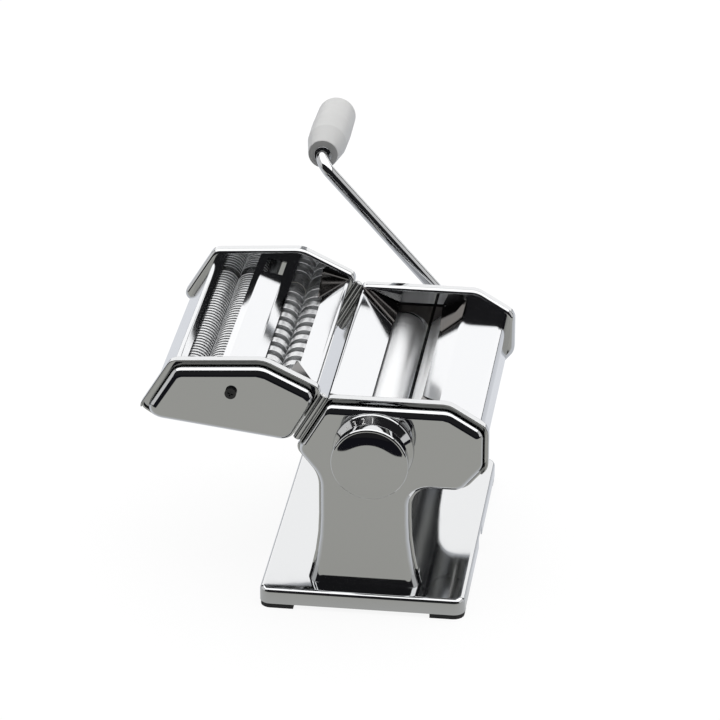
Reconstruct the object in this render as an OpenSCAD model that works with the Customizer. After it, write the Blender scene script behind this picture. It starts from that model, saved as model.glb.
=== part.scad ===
// Hand cranked pasta machine: a chromed sheet metal stand with two smooth rollers
// and a lift-off attachment with a narrow and a wide pair of cutting rollers.
// Millimetres, +Z up. The origin is the middle of the base, in the plane the feet stand on.
// Seen from the front (-Y) the cutter is on the left (-X) and the crank is at the back (+Y).

/* [Base tray] */
// Width of the tray, left to right
tray_w = 125; // [110:1:150]
// Depth of the tray, front to back
tray_d = 190; // [186:1:220]
// Height of the tray
tray_h = 10; // [9.5:0.5:16]
// Sheet thickness of the tray
tray_t = 0.8; // [0.6:0.1:1.2]
// Corner radius of the tray, seen from above
tray_corner_r = 7; // [5:0.5:14]
// Radius of the pressed top edge of the tray
tray_edge_r = 3; // [2:0.5:3]
// How far the side plates stand behind the middle of the tray
head_y = 3; // [0:0.5:4]

/* [Rubber feet] */
// How far a foot stands below the tray
foot_h = 3; // [2:0.5:8]
// Width of a foot
foot_w = 21; // [16:1:30]
// Depth of a foot
foot_d = 15; // [12:1:24]

/* [Table clamp socket] */
// Bore for the rod of a table clamp
clamp_bore_d = 6.3; // [5:0.1:6.6]
// Length of the socket
clamp_socket_l = 26; // [16:1:40]
// Width of the notch in the tray's right wall for the clamp's rod
clamp_notch_w = 18; // [14:1:30]
// Wall of the socket tube
clamp_socket_wall = 1.4; // [1:0.1:1.6]

/* [Side plates and covers] */
// Clear width between the two inner side plates
plate_gap = 152; // [140:1:160]
// Sheet thickness of the inner side plates
plate_t = 1; // [0.8:0.1:1.2]
// How far the flange of an inner plate stands out
flange_d = 6; // [5:0.5:6.5]
// Depth of a pressed side cover
cover_d = 9; // [8.8:0.2:10]
// Sheet thickness of a side cover
cover_t = 0.8; // [0.6:0.1:1]
// Radius of the pressed shoulder of a side cover
shoulder_r = 5; // [3:0.5:6]
// Width of the groove between a flange and its cover
groove_w = 3; // [2:0.25:3.5]
// Depth of the foot tab of an inner plate
tab_d = 14; // [10:1:20]

/* [Head outline] */
// Height of the top edge above the tray
top_z = 124; // [122:1:128]
// Left end of the top edge
top_left_x = -21.5; // [-24:0.5:-20]
// Right end of the top edge
top_right_x = 50.5; // [46:0.5:54]
// Right side of the head
right_x = 74.3; // [72:0.5:80]
// Height of the upper corner on the right side
right_top_z = 109.5; // [106:0.5:112]
// Height of the lower corner on the right side
right_low_z = 83; // [80:0.5:88]
// Right end of the underside of the head
under_right_x = 60; // [54:1:64]
// Height of the underside of the head
under_z = 66; // [60:0.5:67]
// Half width of the leg at its waist
leg_waist = 28; // [24:0.5:30]
// Half width of the leg at the tray
leg_foot = 34.5; // [31:0.5:40]
// Height at which the leg starts to flare
leg_flare_z = 25; // [18:1:30]
// Lean of the edge that carries the cutter
rail_angle = 60; // [58:0.5:62]
// Height of the lower end of that edge
rail_low_z = 88; // [86:0.5:90]

/* [Smooth rollers] */
// Diameter of the smooth rollers
roller_d = 27; // [25:0.5:28]
// Height of the driven roller's axis above the tray
roller_z = 94; // [92:0.5:96]
// Place of the driven roller's axis
drive_x = 34.5; // [33:0.5:36]
// Smallest gap between the smooth rollers
nip_min = 0.3; // [0.2:0.05:0.6]
// Offset of the eccentric part of the adjusting shaft
eccentric = 1.4; // [1:0.1:1.5]
// Turn of the knob from the widest gap to the narrowest
knob_swing = 120; // [100:5:140]
// Number of gap settings
settings = 9; // [5:1:10]
// End play of each roller
end_play = 0.5; // [0.3:0.1:0.8]
// Room between the left feed plate and the roller below it
left_feed_gap = 1.9; // [1.6:0.1:2.5]
// Room between the right feed cover and the roller below it
right_feed_gap = 0.8; // [0.5:0.1:1.5]
// Room between a scraper and its roller
scraper_gap = 0.4; // [0.3:0.1:0.8]
// Height of the two scrapers
scraper_h = 9; // [6:0.5:12]

/* [Feed plates] */
// Sheet thickness of the feed plates and cutter covers
feed_t = 0.8; // [0.6:0.1:1]
// Room between the flanges and the plates inside them
feed_inset = 4; // [3:0.25:5]
// Room between the leaning edge and the fold of the left feed plate
left_fold_in = 0.6; // [0.4:0.1:4]
// Height of the crease in the right feed cover
right_crease_z = 112.4; // [111.5:0.1:114]
// Place of the crease in the right feed cover
right_crease_x = 43.4; // [41:0.2:46]
// Height of the outer bend of the right feed cover
right_bend_z = 105; // [100:0.5:108]
// Thickness of the end guards
guard_t = 2; // [1.5:0.1:3]
// Reach of a guard's left wing along the feed plate
left_wing_l = 19; // [10:0.5:30]
// Reach of a guard's right wing at the crease
right_wing_short = 15; // [8:0.5:20]
// Reach of a guard's right wing at the roller
right_wing_l = 30; // [20:0.5:40]
// Height of a guard's right wing above the crease
right_wing_h = 4.5; // [3:0.1:5]
// Height of the top edge of the end guards
guard_top_z = 113; // [112:0.5:116]

/* [Shafts and bushes] */
// Diameter of the driven roller's plain journal
journal_d = 12; // [10:0.5:13]
// Diameter of a roller's gear neck
neck_d = 16; // [15:0.5:17]
// Diameter of the eccentric part of the adjusting shaft
eccentric_d = 12; // [11:0.5:12.5]
// Diameter of the adjusting shaft in the front bush
adjuster_d = 10; // [9:0.5:11]
// Diameter of the adjusting shaft's stem and rear end
stem_d = 8; // [7:0.5:8.5]
// Wall of a plain bush
bush_wall = 2.5; // [2:0.1:3]
// Length of a bush inside the adjusted roller
roller_bush_l = 13; // [8:1:20]
// Thickness of a bush flange
bush_flange_t = 1.2; // [0.8:0.1:1.4]
// Running clearance on a radius
run_gap = 0.05; // [0.03:0.01:0.08]

/* [Gears] */
// Teeth of a smooth roller's gear
roller_teeth = 12; // [12:2:12]
// Height of a roller tooth above the tight pitch circle
roller_addendum = 2.05; // [1.9:0.05:2.1]
// Teeth of a cutter gear
cutter_teeth = 14; // [12:2:16]
// Height of a cutter tooth above its pitch circle
cutter_addendum = 1.05; // [0.8:0.05:1.1]
// Play between meshing teeth
backlash = 0.7; // [0.6:0.05:0.8]
// Width of the gears
gear_t = 4.8; // [4:0.2:5]

/* [Fasteners] */
// Diameter of the tie rods
tie_rod_d = 7; // [6:0.5:8]
// Thread diameter of the frame screws
screw_d = 4; // [3:0.5:4]
// Head diameter of the frame screws
screw_head_d = 7.2; // [6:0.2:8]
// Head height of the frame screws
screw_head_h = 2.2; // [1.6:0.1:2.6]
// Thread diameter of the cutter's cover screws
cover_screw_d = 3.5; // [3:0.5:3.5]
// Head diameter of the cutter's cover screws
cover_screw_head_d = 7; // [6:0.2:8]
// Diameter of the cutter's tie rods
cutter_rod_d = 5.6; // [5:0.2:6]

// Upper left tie rod, left of the adjusted roller's axis
upper_rod_l = 28; // [26:0.5:30]
// Upper right tie rod, right of the driven roller's axis
upper_rod_r = 27.5; // [24:0.5:29]
// Lower tie rods, outwards of the roller axes
lower_rod_out = 14; // [12:0.5:16]
// Lower tie rods, above the underside of the head
lower_rod_up = 6; // [5:0.5:7]

/* [Knob] */
// Diameter of the knob's skirt
skirt_d = 48.6; // [44:0.2:50]
// Diameter of the knob's neck
knob_neck_d = 40; // [36:0.5:42]
// Diameter of the knob's cap
cap_d = 46.4; // [42:0.2:48]
// Rise of the middle of the knob's cap above its rim
cap_crown = 1.6; // [0.6:0.1:2]
// How far the knob stands off the cover
knob_h = 22; // [21:0.5:28]
// Travel of the knob when pulled out
knob_pull = 4; // [3:0.5:4]
// Radius of the ring of setting holes
index_r = 15; // [13:0.5:17]
// Diameter of the setting pin
index_pin_d = 3; // [2:0.2:3.2]
// Wire diameter of the knob spring
spring_wire_d = 1; // [0.6:0.1:1]
// Turns of the knob spring
spring_turns = 3; // [2:0.5:3]

/* [Crank] */
// Diameter of the crank rod
rod_d = 8; // [7:0.2:8.4]
// Throw of the crank
crank_r = 132; // [110:1:150]
// Angle of the crank arm at rest, up from the right
crank_angle = 131.4; // [110:0.1:150]
// How far the arm stands off the rear cover
arm_off = 22; // [16:0.5:24]
// Bend radius of the crank rod
bend_r = 10; // [8:0.5:12]
// Depth of a crank socket
socket_l = 30; // [24:1:40]
// Length of the flattened tip of the crank
tang_l = 8; // [6:0.5:10]
// Thickness of the flattened tip
tang_t = 5; // [4:0.2:5.4]
// How far the rounded sides of the flattened tip are turned down
tang_step = 0.5; // [0.3:0.1:1]
// Sliding clearance of the crank in its socket, on a radius
socket_gap = 0.1; // [0.08:0.02:0.2]

/* [Grip] */
// Length of the grip
grip_l = 69; // [50:1:80]
// Diameter of the grip's inner end
grip_inner_d = 19.2; // [16:0.2:22]
// Diameter of the grip where its cone ends
grip_waist_d = 24.8; // [22:0.2:25.2]
// Length of the grip's cone
grip_cone_l = 19; // [12:1:26]
// Largest diameter of the grip
grip_d = 25.6; // [25.2:0.2:32]
// Radius of the grip's rounded outer end
grip_end_r = 6; // [3:0.5:6]

/* [Cutter outline] */
// Gap from the head's edge to the cutter's edge
cutter_gap = 5; // [4.8:0.1:6]
// Height of the upper end of the cutter's edge along the lean
cutter_edge_up = 2.9; // [1:0.1:5]
// Drop of the cutter's lower right corner below the head's top
cutter_low_drop = 31.7; // [30:0.1:34]
// Cutter's top right corner, left of the head's corner
cutter_tr_left = 38.5; // [36:0.5:42]
// Cutter's top right corner, above the head's top
cutter_tr_up = 22.4; // [20:0.2:25]
// Cutter's top left corner, left of the head's corner
cutter_tl_left = 94.9; // [92:0.1:98]
// Cutter's top left corner, above the head's top
cutter_tl_up = 18.8; // [18:0.2:22]
// Cutter's left corner, left of the head's corner
cutter_l_left = 115.3; // [114:0.1:120]
// Cutter's left corner, below the head's top
cutter_l_down = 14.2; // [12:0.2:16]
// Cutter's lower left corner, left of the head's corner
cutter_ll_left = 104.5; // [102:0.5:107]
// Cutter's lower left corner, below the head's top
cutter_ll_down = 21.4; // [20:0.2:24]

/* [Cutter rollers] */
// Diameter of the cutting rollers
cutter_d = 18.4; // [17:0.2:18.6]
// Overlap of two cutting rollers
bite = 1.2; // [0.8:0.1:1.6]
// Depth of the grooves
groove_d = 2.4; // [2.2:0.1:2.6]
// Side clearance of a ring in its groove
ring_gap = 0.2; // [0.1:0.05:0.3]
// Pitch of the narrow rings
fine_pitch = 3.6; // [3:0.1:5]
// Pitch of the wide rings
wide_pitch = 12; // [9:0.5:15]
// Middle of the narrow pair, left of the head's corner
fine_left = 78.5; // [78:0.1:80]
// Middle of the narrow pair, below the head's top
fine_down = 2.2; // [1.5:0.1:3]
// Middle of the wide pair, left of the head's corner
wide_left = 34.8; // [34.7:0.1:36]
// Middle of the wide pair, below the head's top
wide_down = 7.2; // [6:0.1:7.2]
// Diameter of the cutting rollers' plain journals
cutter_journal_d = 7; // [6:0.2:7.2]
// Diameter of the driven cutting rollers' necks
cutter_neck_d = 11.6; // [11.4:0.1:12]
// Thickness of the combs
comb_t = 1.2; // [0.8:0.1:1.4]
// Height of the bar of a comb
comb_h = 10; // [6:0.5:11]

/* [Cutter covers and rods] */
// Left edge of the flat ridge, left of the head's corner
ridge_l_left = 63.1; // [61:0.1:64]
// Left edge of the flat ridge, above the head's top
ridge_l_up = 11.3; // [10:0.1:13]
// Right edge of the flat ridge, left of the head's corner
ridge_r_left = 48.7; // [47:0.1:50]
// Right edge of the flat ridge, above the head's top
ridge_r_up = 7.8; // [7:0.1:10]
// How far the ridge is cut back at each end
ridge_cut = 10; // [4:0.5:16]
// Length of the fold of the right cover
right_fold_l = 25; // [15:0.5:28]
// Reach of the wings of the right cover
cutter_wing_l = 30; // [20:1:40]
// Height of the wings of the right cover
cutter_wing_h = 6; // [3:0.5:8]
// Room between a cover's lip and its cutting roller
cutter_lip_gap = 0.7; // [0.5:0.1:1.2]
// Middle tie rod, left of the head's corner
mid_rod_left = 58; // [57.5:0.1:58.5]
// Middle tie rod, above the head's top
mid_rod_up = 1.3; // [0.5:0.1:2]
// Left tie rod, left of the head's corner
left_rod_left = 103.5; // [102:0.5:105]
// Left tie rod, below the head's top
left_rod_down = 14.5; // [13:0.5:15.5]
// Right tie rod, left of the head's corner
right_rod_left = 26.5; // [26:0.5:27]
// Right tie rod, below the head's top
right_rod_down = 21; // [20:0.5:22]

/* [Cutter slide] */
// Diameter of the bead on the head's edge
bead_d = 2.4; // [2:0.1:2.6]
// Outer diameter of the slotted tube on the cutter
tube_d = 4.2; // [4:0.1:4.2]
// Wall of the slotted tube
tube_wall = 0.6; // [0.5:0.05:0.6]
// Thickness of the tongue that carries the bead
tongue_t = 0.8; // [0.6:0.1:0.9]
// Length of the slotted tube
tube_l = 32; // [26:1:34]

/* [Hidden] */
$fn = 64;

chrome = "#c9ccd0";
satin = "#b4b4b0";
steel = "#8e9196";
bronze = "#b08d57";
rubber = "#1b1b1c";
plastic = "#d9d9d6";
dark = "#2a2b2d";

// Assembly gap between pieces of one body, on a radius
fit_gap = 0.02;
// Clearance of a screw in its hole, on a radius
screw_gap = 0.05;
// Clearance between pieces that pass each other
pass_gap = 0.3;
// Smallest radius of a rounded corner
min_r = 0.3;

// Heights and depths; y values are measured from the middle plane of the head
deck_z = foot_h + tray_h;
y_in = plate_gap / 2;
y_out = y_in + plate_t;
y_flange = y_out + flange_d;
y_face = y_out + cover_d;
y_back = y_face - cover_t;
roller_end = y_in - end_play;
gear_y = y_out + bush_flange_t + pass_gap;
gear_end = gear_y + gear_t;
neck_end = y_back - 0.6;

// Axes in the X-Z plane, with Z above the tray
roller_r = roller_d / 2;
drive_axis = [drive_x, roller_z];
half_swing = knob_swing / 2;
knob_axis = [
    drive_x - roller_d - nip_min - eccentric * sin(half_swing),
    roller_z - eccentric * (1 + cos(half_swing)) / 2
];
// Axis of the adjusted roller when the knob has turned by the angle a
function idler_at(a) = knob_axis + eccentric * toward(90 + half_swing - a);
idler_axis = idler_at(0);

// Corner of the head from which the cutter is placed, and the lean of the edge below it
corner = [top_left_x, top_z];
lean = [cos(rail_angle), sin(rail_angle)];
lean_out = [-sin(rail_angle), cos(rail_angle)];
function on_lean(out, along) = corner + out * lean_out + along * lean;
rail_out = cutter_gap / 2;
rail_y = y_out + flange_d / 2;
tube_top = -1.5;
tube_low = tube_top - tube_l;

// Cutting rollers
cutter_r = cutter_d / 2;
cutter_pitch_r = (cutter_d - bite) / 2;
fine_mid = corner + [-fine_left, -fine_down];
wide_mid = corner + [-wide_left, -wide_down];
function of_pair(mid, side) = [mid[0] + side * cutter_pitch_r, mid[1]];

// Plane geometry
function unit(v) = v / norm(v);
function turned(v) = [-v[1], v[0]];
function cross2(a, b) = a[0] * b[1] - a[1] * b[0];
function toward(a) = [cos(a), sin(a)];
function spun(v, a) = [v[0] * cos(a) - v[1] * sin(a), v[0] * sin(a) + v[1] * cos(a)];
function backwards(p) = [for (i = [len(p) - 1:-1:0]) p[i]];
// Offset of a corner whose two edges, along u and v, move to their left by a and b
function corner_shift(u, v, a, b) =
    let (m = turned(u), n = turned(v))
    [a * n[1] - b * m[1], b * m[0] - a * n[0]] / cross2(m, n);
// Closed outline, anticlockwise, with each edge moved inwards by its own distance
function inset(p, d) = let (n = len(p)) [
    for (i = [0:n - 1])
        let (h = (i + n - 1) % n, j = (i + 1) % n)
        p[i] + corner_shift(unit(p[i] - p[h]), unit(p[j] - p[i]), d[h], d[i])
];
// Points of one rounded corner at b, between the points a and c
function corner_arc(a, b, c, r, n) =
    let (
        u = unit(b - a),
        turn = atan2(cross2(u, c - b), u * (c - b)),
        start = b - u * r * tan(abs(turn) / 2),
        centre = start + sign(turn) * r * turned(u)
    )
    [for (k = [0:n]) centre + spun(start - centre, turn * k / n)];
function rounded(p, r, n = 5) = let (m = len(p)) [
    for (i = [0:m - 1])
        each corner_arc(p[(i + m - 1) % m], p[i], p[(i + 1) % m], r[i], n)
];
// Corner radii of an outline that has moved inwards by d
function inset_radii(p, r, d) = let (m = len(p)) [
    for (i = [0:m - 1])
        let (h = (i + m - 1) % m, turn = cross2(p[i] - p[h], p[(i + 1) % m] - p[i]))
        max(min_r, r[i] - sign(turn) * min(d[h], d[i]))
];
function inset_outline(p, r, d) = rounded(inset(p, d), inset_radii(p, r, d));
// Open line through bends, and the outline of a sheet bent along it, t thick on its left
function bent_line(p, r) = concat(
    [p[0]],
    [for (i = [1:len(p) - 2]) each corner_arc(p[i - 1], p[i], p[i + 1], r[i - 1], 5)],
    [p[len(p) - 1]]
);
function shifted_line(p, t) = let (n = len(p) - 1) [
    for (i = [0:n])
        let (u = unit(p[max(i, 1)] - p[max(i, 1) - 1]), v = unit(p[min(i, n - 1) + 1] - p[min(i, n - 1)]))
        i == 0 || i == n ? p[i] + t * turned(u) : p[i] + corner_shift(u, v, t, t)
];
function shifted_radii(p, r, t) = [
    for (i = [1:len(p) - 2])
        max(min_r, r[i - 1] - t * sign(cross2(p[i] - p[i - 1], p[i + 1] - p[i])))
];
function bent_sheet(p, r, t) = concat(
    bent_line(p, r),
    backwards(bent_line(shifted_line(p, t), shifted_radii(p, r, t)))
);

// Involute gear outline with a tooth on +X
function involute(a) = tan(a) * 180 / PI - a;
function tooth_half(n, pitch_r, play, press, r) =
    90 / n - play / (2 * pitch_r) * 180 / PI
    + involute(press) - involute(acos(min(1, pitch_r * cos(press) / r)));
function gear_outline(n, pitch_r, tip_r, root_r, play, press = 20, steps = 4) =
    let (
        low = max(root_r, pitch_r * cos(press)),
        radii = concat([root_r], [for (k = [0:steps]) low + (tip_r - low) * k / steps]),
        half = [for (r = radii) tooth_half(n, pitch_r, play, press, max(r, low))]
    )
    [
        for (t = [0:n - 1])
            each concat(
                [for (k = [0:steps + 1]) radii[k] * toward(360 * t / n - half[k])],
                [for (k = [steps + 1:-1:0]) radii[k] * toward(360 * t / n + half[k])]
            )
    ];

// Placing: the head's frame, prisms and rods along Y, front and back twins
module at_head() { translate([0, head_y, deck_z]) children(); }
module prism_y(y0, y1) {
    translate([0, y1, 0]) rotate([90, 0, 0]) linear_extrude(y1 - y0) children();
}
module rod_y(p, r, y0, y1) {
    translate([p[0], y0, p[1]]) rotate([-90, 0, 0]) cylinder(r = r, h = y1 - y0);
}
module both_ends() {
    children();
    mirror([0, 1, 0]) children();
}
module ring_y(p, r_in, r_out, y0, y1) {
    difference() {
        rod_y(p, r_out, y0, y1);
        rod_y(p, r_in, y0 - 1, y1 + 1);
    }
}

// Closed skin through a list of rings with equal counts of points
module skin(rings) {
    n = len(rings[0]);
    m = len(rings);
    sides = [
        for (k = [0:m - 2])
            for (i = [0:n - 1])
                let (j = (i + 1) % n)
                [k * n + i, (k + 1) * n + i, (k + 1) * n + j, k * n + j]
    ];
    first = [for (i = [0:n - 1]) i];
    last = [for (i = [n - 1:-1:0]) (m - 1) * n + i];
    polyhedron([for (r = rings) each r], concat([first], sides, [last]), convexity = 6);
}
// Curve of a pressed shoulder: how far it has moved in and how deep it is at the angle a
shoulder_steps = [0:22.5:90];
function shoulder(r, a) = [r * (1 - cos(a)), r * sin(a) - r];

// Pressed pan: each edge of the outline p moved in by d and rolled where roll is 1; r are the wall's radii
function pan_ring(p, r, d, roll, t, in, y) =
    let (more = [for (e = roll) e * in + t])
    [for (q = rounded(inset(p, d + more), inset_radii(p, r, more))) [q[0], -y, q[1]]];
function pan_rings(p, r, d, roll, t, y0, y1, round) = concat(
    [pan_ring(p, r, d, roll, t, 0, y0)],
    [for (a = shoulder_steps) let (s = shoulder(round, a)) pan_ring(p, r, d, roll, t, s[0], y1 + s[1])]
);
module pan(p, r, d, roll) {
    skin(concat(
        backwards(pan_rings(p, r, d, roll, cover_t, y_out, y_back, shoulder_r - cover_t)),
        pan_rings(p, r, d, roll, 0, y_out, y_face, shoulder_r)
    ));
}

// Outline of the head and its leg, anticlockwise from the foot of the leg
rail_low = corner + lean * (rail_low_z - top_z) / sin(rail_angle);
head_outline = [
    [-leg_foot, 0], [leg_foot, 0], [leg_waist, leg_flare_z], [leg_waist, under_z],
    [under_right_x, under_z], [right_x, right_low_z], [right_x, right_top_z], [top_right_x, top_z],
    corner, rail_low, [-leg_waist, under_z + 4], [-leg_waist, leg_flare_z]
];
head_radii = [min_r, min_r, 150, 13, 12, 9, 9, 14, 5, 7, 20, 150];
rim = groove_w + plate_t;
head_cover_in = [0, 1.5, 1.5, 0.6, 2, rim, rim, rim, plate_t + pass_gap, 1.5, 1.5, 1.5];
head_cover_radii = [min_r, min_r, 150, 13, 10, 9, 8.5, 13, 6, 7, 20, 150];
head_cover_roll = [0, 1, 1, 1, 1, 1, 1, 1, 0.5, 1, 1, 1];

// Outline of the cutter, anticlockwise from its lower right corner
cutter_outline = [
    on_lean(cutter_gap, (-cutter_low_drop - cutter_gap * lean_out[1]) / lean[1]),
    on_lean(cutter_gap, cutter_edge_up),
    corner + [-cutter_tr_left, cutter_tr_up],
    corner + [-cutter_tl_left, cutter_tl_up],
    corner + [-cutter_l_left, -cutter_l_down],
    corner + [-cutter_ll_left, -cutter_ll_down]
];
cutter_radii = [8, 6, 18, 8, 5, 12];
cutter_cover_in = [plate_t + 0.2, rim, rim, rim, 1.5, 1.2];
cutter_cover_radii = [8, 7, 16, 9, 7, 14];
cutter_cover_roll = [0.4, 1, 1, 1, 1, 1];

// Sheet metal plate with an outline and an outward flange above low_z, on the left above left_z
module flanged_plate(p, r, low_z, left_z) {
    prism_y(-y_out, -y_in) polygon(rounded(p, r));
    intersection() {
        prism_y(-y_flange, -y_out) difference() {
            polygon(rounded(p, r));
            polygon(inset_outline(p, r, [for (e = p) plate_t]));
        }
        union() {
            translate([0, -200, low_z]) cube([200, 400, 200]);
            translate([-200, -200, left_z]) cube([201, 400, 200]);
        }
    }
}

// Base tray, pressed from one sheet and open below
function tray_ring(in, z) =
    let (w = tray_w / 2 - in, d = tray_d / 2 - in, r = max(min_r, tray_corner_r - in))
    [for (q = rounded([[-w, -d], [w, -d], [w, d], [-w, d]], [r, r, r, r])) [q[0], q[1], z]];
function tray_rings(in, top, round) = concat(
    [tray_ring(in, foot_h)],
    [for (a = shoulder_steps) let (s = shoulder(round, a)) tray_ring(in + s[0], top + s[1])]
);
tab_screw_x = leg_foot / 2;
tab_screw_y = y_in - tab_d / 2;
module at_base_screws() {
    for (x = [-tab_screw_x, tab_screw_x])
        for (y = [-tab_screw_y, tab_screw_y])
            translate([x, head_y + y, deck_z]) children();
}
clamp_z = foot_h + clamp_bore_d / 2 + pass_gap + 0.35;
clamp_notch_top = max(deck_z - tray_edge_r, clamp_z + clamp_bore_d / 2);
module base_tray() {
    color(chrome) difference() {
        skin(concat(
            backwards(tray_rings(tray_t, deck_z - tray_t, tray_edge_r - tray_t)),
            tray_rings(0, deck_z, tray_edge_r)
        ));
        at_base_screws()
            translate([0, 0, -tray_t - 1]) cylinder(d = screw_d + 2 * screw_gap, h = tray_t + 2);
        translate([tray_w / 2 - tray_t - 1, -clamp_notch_w / 2, foot_h - 1])
            cube([tray_t + 2, clamp_notch_w, clamp_notch_top - foot_h + 1]);
    }
}

// Rubber foot under each corner, with a plug that fills the corner of the tray
module foot_block(in, w, d, z0, z1, sx, sy) {
    translate([0, 0, z0]) intersection() {
        linear_extrude(z1 - z0) polygon([for (q = tray_ring(in, 0)) [q[0], q[1]]]);
        translate([sx * tray_w / 2, sy * tray_d / 2, 0])
            translate([sx > 0 ? -w : 0, sy > 0 ? -d : 0, -1]) cube([w, d, z1 - z0 + 2]);
    }
}
module rubber_feet() {
    color(rubber) for (sx = [-1, 1]) for (sy = [-1, 1]) {
        foot_block(0.4, foot_w, foot_d, 0, foot_h, sx, sy);
        foot_block(tray_edge_r + pass_gap, foot_w - 2, foot_d - 2, foot_h, deck_z - tray_t, sx, sy);
    }
}

// Socket for a table clamp, welded under the tray behind the notch in its right wall
socket_plate_t = 1;
module clamp_socket() {
    plate_w = 18;
    x1 = tray_w / 2 - tray_edge_r - 0.5;
    tube_r = clamp_bore_d / 2 + clamp_socket_wall;
    color(steel) difference() {
        union() {
            translate([x1 - clamp_socket_l, -plate_w / 2, deck_z - tray_t - socket_plate_t])
                cube([clamp_socket_l, plate_w, socket_plate_t]);
            translate([x1 - clamp_socket_l, -tube_r, clamp_z])
                cube([clamp_socket_l, 2 * tube_r, deck_z - tray_t - socket_plate_t - clamp_z]);
            translate([x1 - clamp_socket_l, 0, clamp_z])
                rotate([0, 90, 0]) cylinder(r = tube_r, h = clamp_socket_l);
        }
        translate([x1 - clamp_socket_l - 1, 0, clamp_z])
            rotate([0, 90, 0]) cylinder(d = clamp_bore_d, h = clamp_socket_l + 2);
    }
}

// Screws that hold the foot tabs of the inner plates to the tray, and their nuts
base_nut_h = 2.4;
module base_screws() {
    color(steel) at_base_screws() {
        translate([0, 0, plate_t]) cylinder(d = screw_head_d, h = screw_head_h);
        translate([0, 0, -tray_t - base_nut_h - 0.5])
            cylinder(d = screw_d, h = plate_t + tray_t + base_nut_h + 0.5);
    }
}
module base_nuts() {
    color(steel) at_base_screws() translate([0, 0, -tray_t - base_nut_h]) difference() {
        cylinder(d = screw_d * 2, h = base_nut_h, $fn = 6);
        translate([0, 0, -1]) cylinder(d = screw_d + 2 * fit_gap, h = base_nut_h + 2);
    }
}

// Inner side plates: sheet with a flanged rim and a foot tab on the tray
tie_rod_places = [
    [idler_axis[0] - upper_rod_l, roller_z + 1], [drive_x + upper_rod_r, roller_z - 6],
    [idler_axis[0] - lower_rod_out, under_z + lower_rod_up],
    [drive_x + lower_rod_out, under_z + lower_rod_up]
];
module inner_plate_blank() {
    flanged_plate(head_outline, head_radii, right_low_z - 4, rail_low_z + 4);
    translate([-leg_foot + 3, -y_in, 0]) cube([2 * leg_foot - 6, tab_d, plate_t]);
}
module plate_holes() {
    for (p = tie_rod_places)
        rod_y(p, screw_d / 2 + screw_gap, -y_out - 1, -y_in + 1);
    for (x = [-tab_screw_x, tab_screw_x])
        translate([x, -tab_screw_y, -1]) cylinder(d = screw_d + 2 * screw_gap, h = plate_t + 2);
}
module front_inner_plate() {
    color(chrome) at_head() difference() {
        inner_plate_blank();
        plate_holes();
        rod_y(drive_axis, journal_d / 2 + bush_wall + fit_gap, -y_out - 1, -y_in + 1);
        rod_y(knob_axis, adjuster_d / 2 + bush_wall + fit_gap, -y_out - 1, -y_in + 1);
    }
}
module rear_inner_plate() {
    color(chrome) at_head() mirror([0, 1, 0]) difference() {
        inner_plate_blank();
        plate_holes();
        rod_y(drive_axis, neck_d / 2 + bush_wall + fit_gap, -y_out - 1, -y_in + 1);
        rod_y(knob_axis, neck_d / 2 + eccentric + 2 * pass_gap, -y_out - 1, -y_in + 1);
    }
}

// Pressed side covers over the inner plates
index_start = 90 + half_swing;
index_step = knob_swing / (settings - 1);
module front_side_cover() {
    color(chrome) at_head() difference() {
        pan(head_outline, head_cover_radii, head_cover_in, head_cover_roll);
        rod_y(knob_axis, adjuster_d / 2 + pass_gap, -y_face - 1, -y_back + 1);
        for (i = [0:settings - 1])
            rod_y(
                knob_axis + index_r * toward(index_start - i * index_step),
                index_pin_d / 2 + 0.15, -y_face - 1, -y_back + 1
            );
    }
}
module rear_side_cover() {
    color(chrome) at_head() mirror([0, 1, 0]) difference() {
        pan(head_outline, head_cover_radii, head_cover_in, head_cover_roll);
        rod_y(drive_axis, rod_d / 2 + 1, -y_face - 1, -y_back + 1);
        rod_y(knob_axis, stem_d / 2 + rear_bush_wall + fit_gap, -y_face - 1, -y_back + 1);
    }
}

// Left feed plate: slopes down to the adjusted roller, then folds down inside the leaning edge
left_lip = idler_axis + (roller_r + left_feed_gap) * toward(108);
left_crest = on_lean(-left_fold_in, -2.2);
left_foot = on_lean(-left_fold_in, (rail_low_z - top_z) / sin(rail_angle) + 6);
module left_feed_plate() {
    color(chrome) at_head() prism_y(-y_in, y_in)
        polygon(bent_sheet([left_lip, left_crest, left_foot], [2.5], feed_t));
}

// Right feed cover: over the driven roller, a shallow crease, then down the right side
right_lip = drive_axis + (roller_r + right_feed_gap + feed_t) * toward(107);
right_side_x = right_x - plate_t - feed_inset;
module right_feed_cover() {
    color(chrome) at_head() prism_y(-y_in, y_in)
        polygon(bent_sheet(
            [
                [right_side_x - 6, under_z + 5], [right_side_x, right_low_z - 4], [right_side_x, right_bend_z],
                [right_crease_x, right_crease_z], right_lip
            ],
            [3, 8, 6], feed_t
        ));
}

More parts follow.
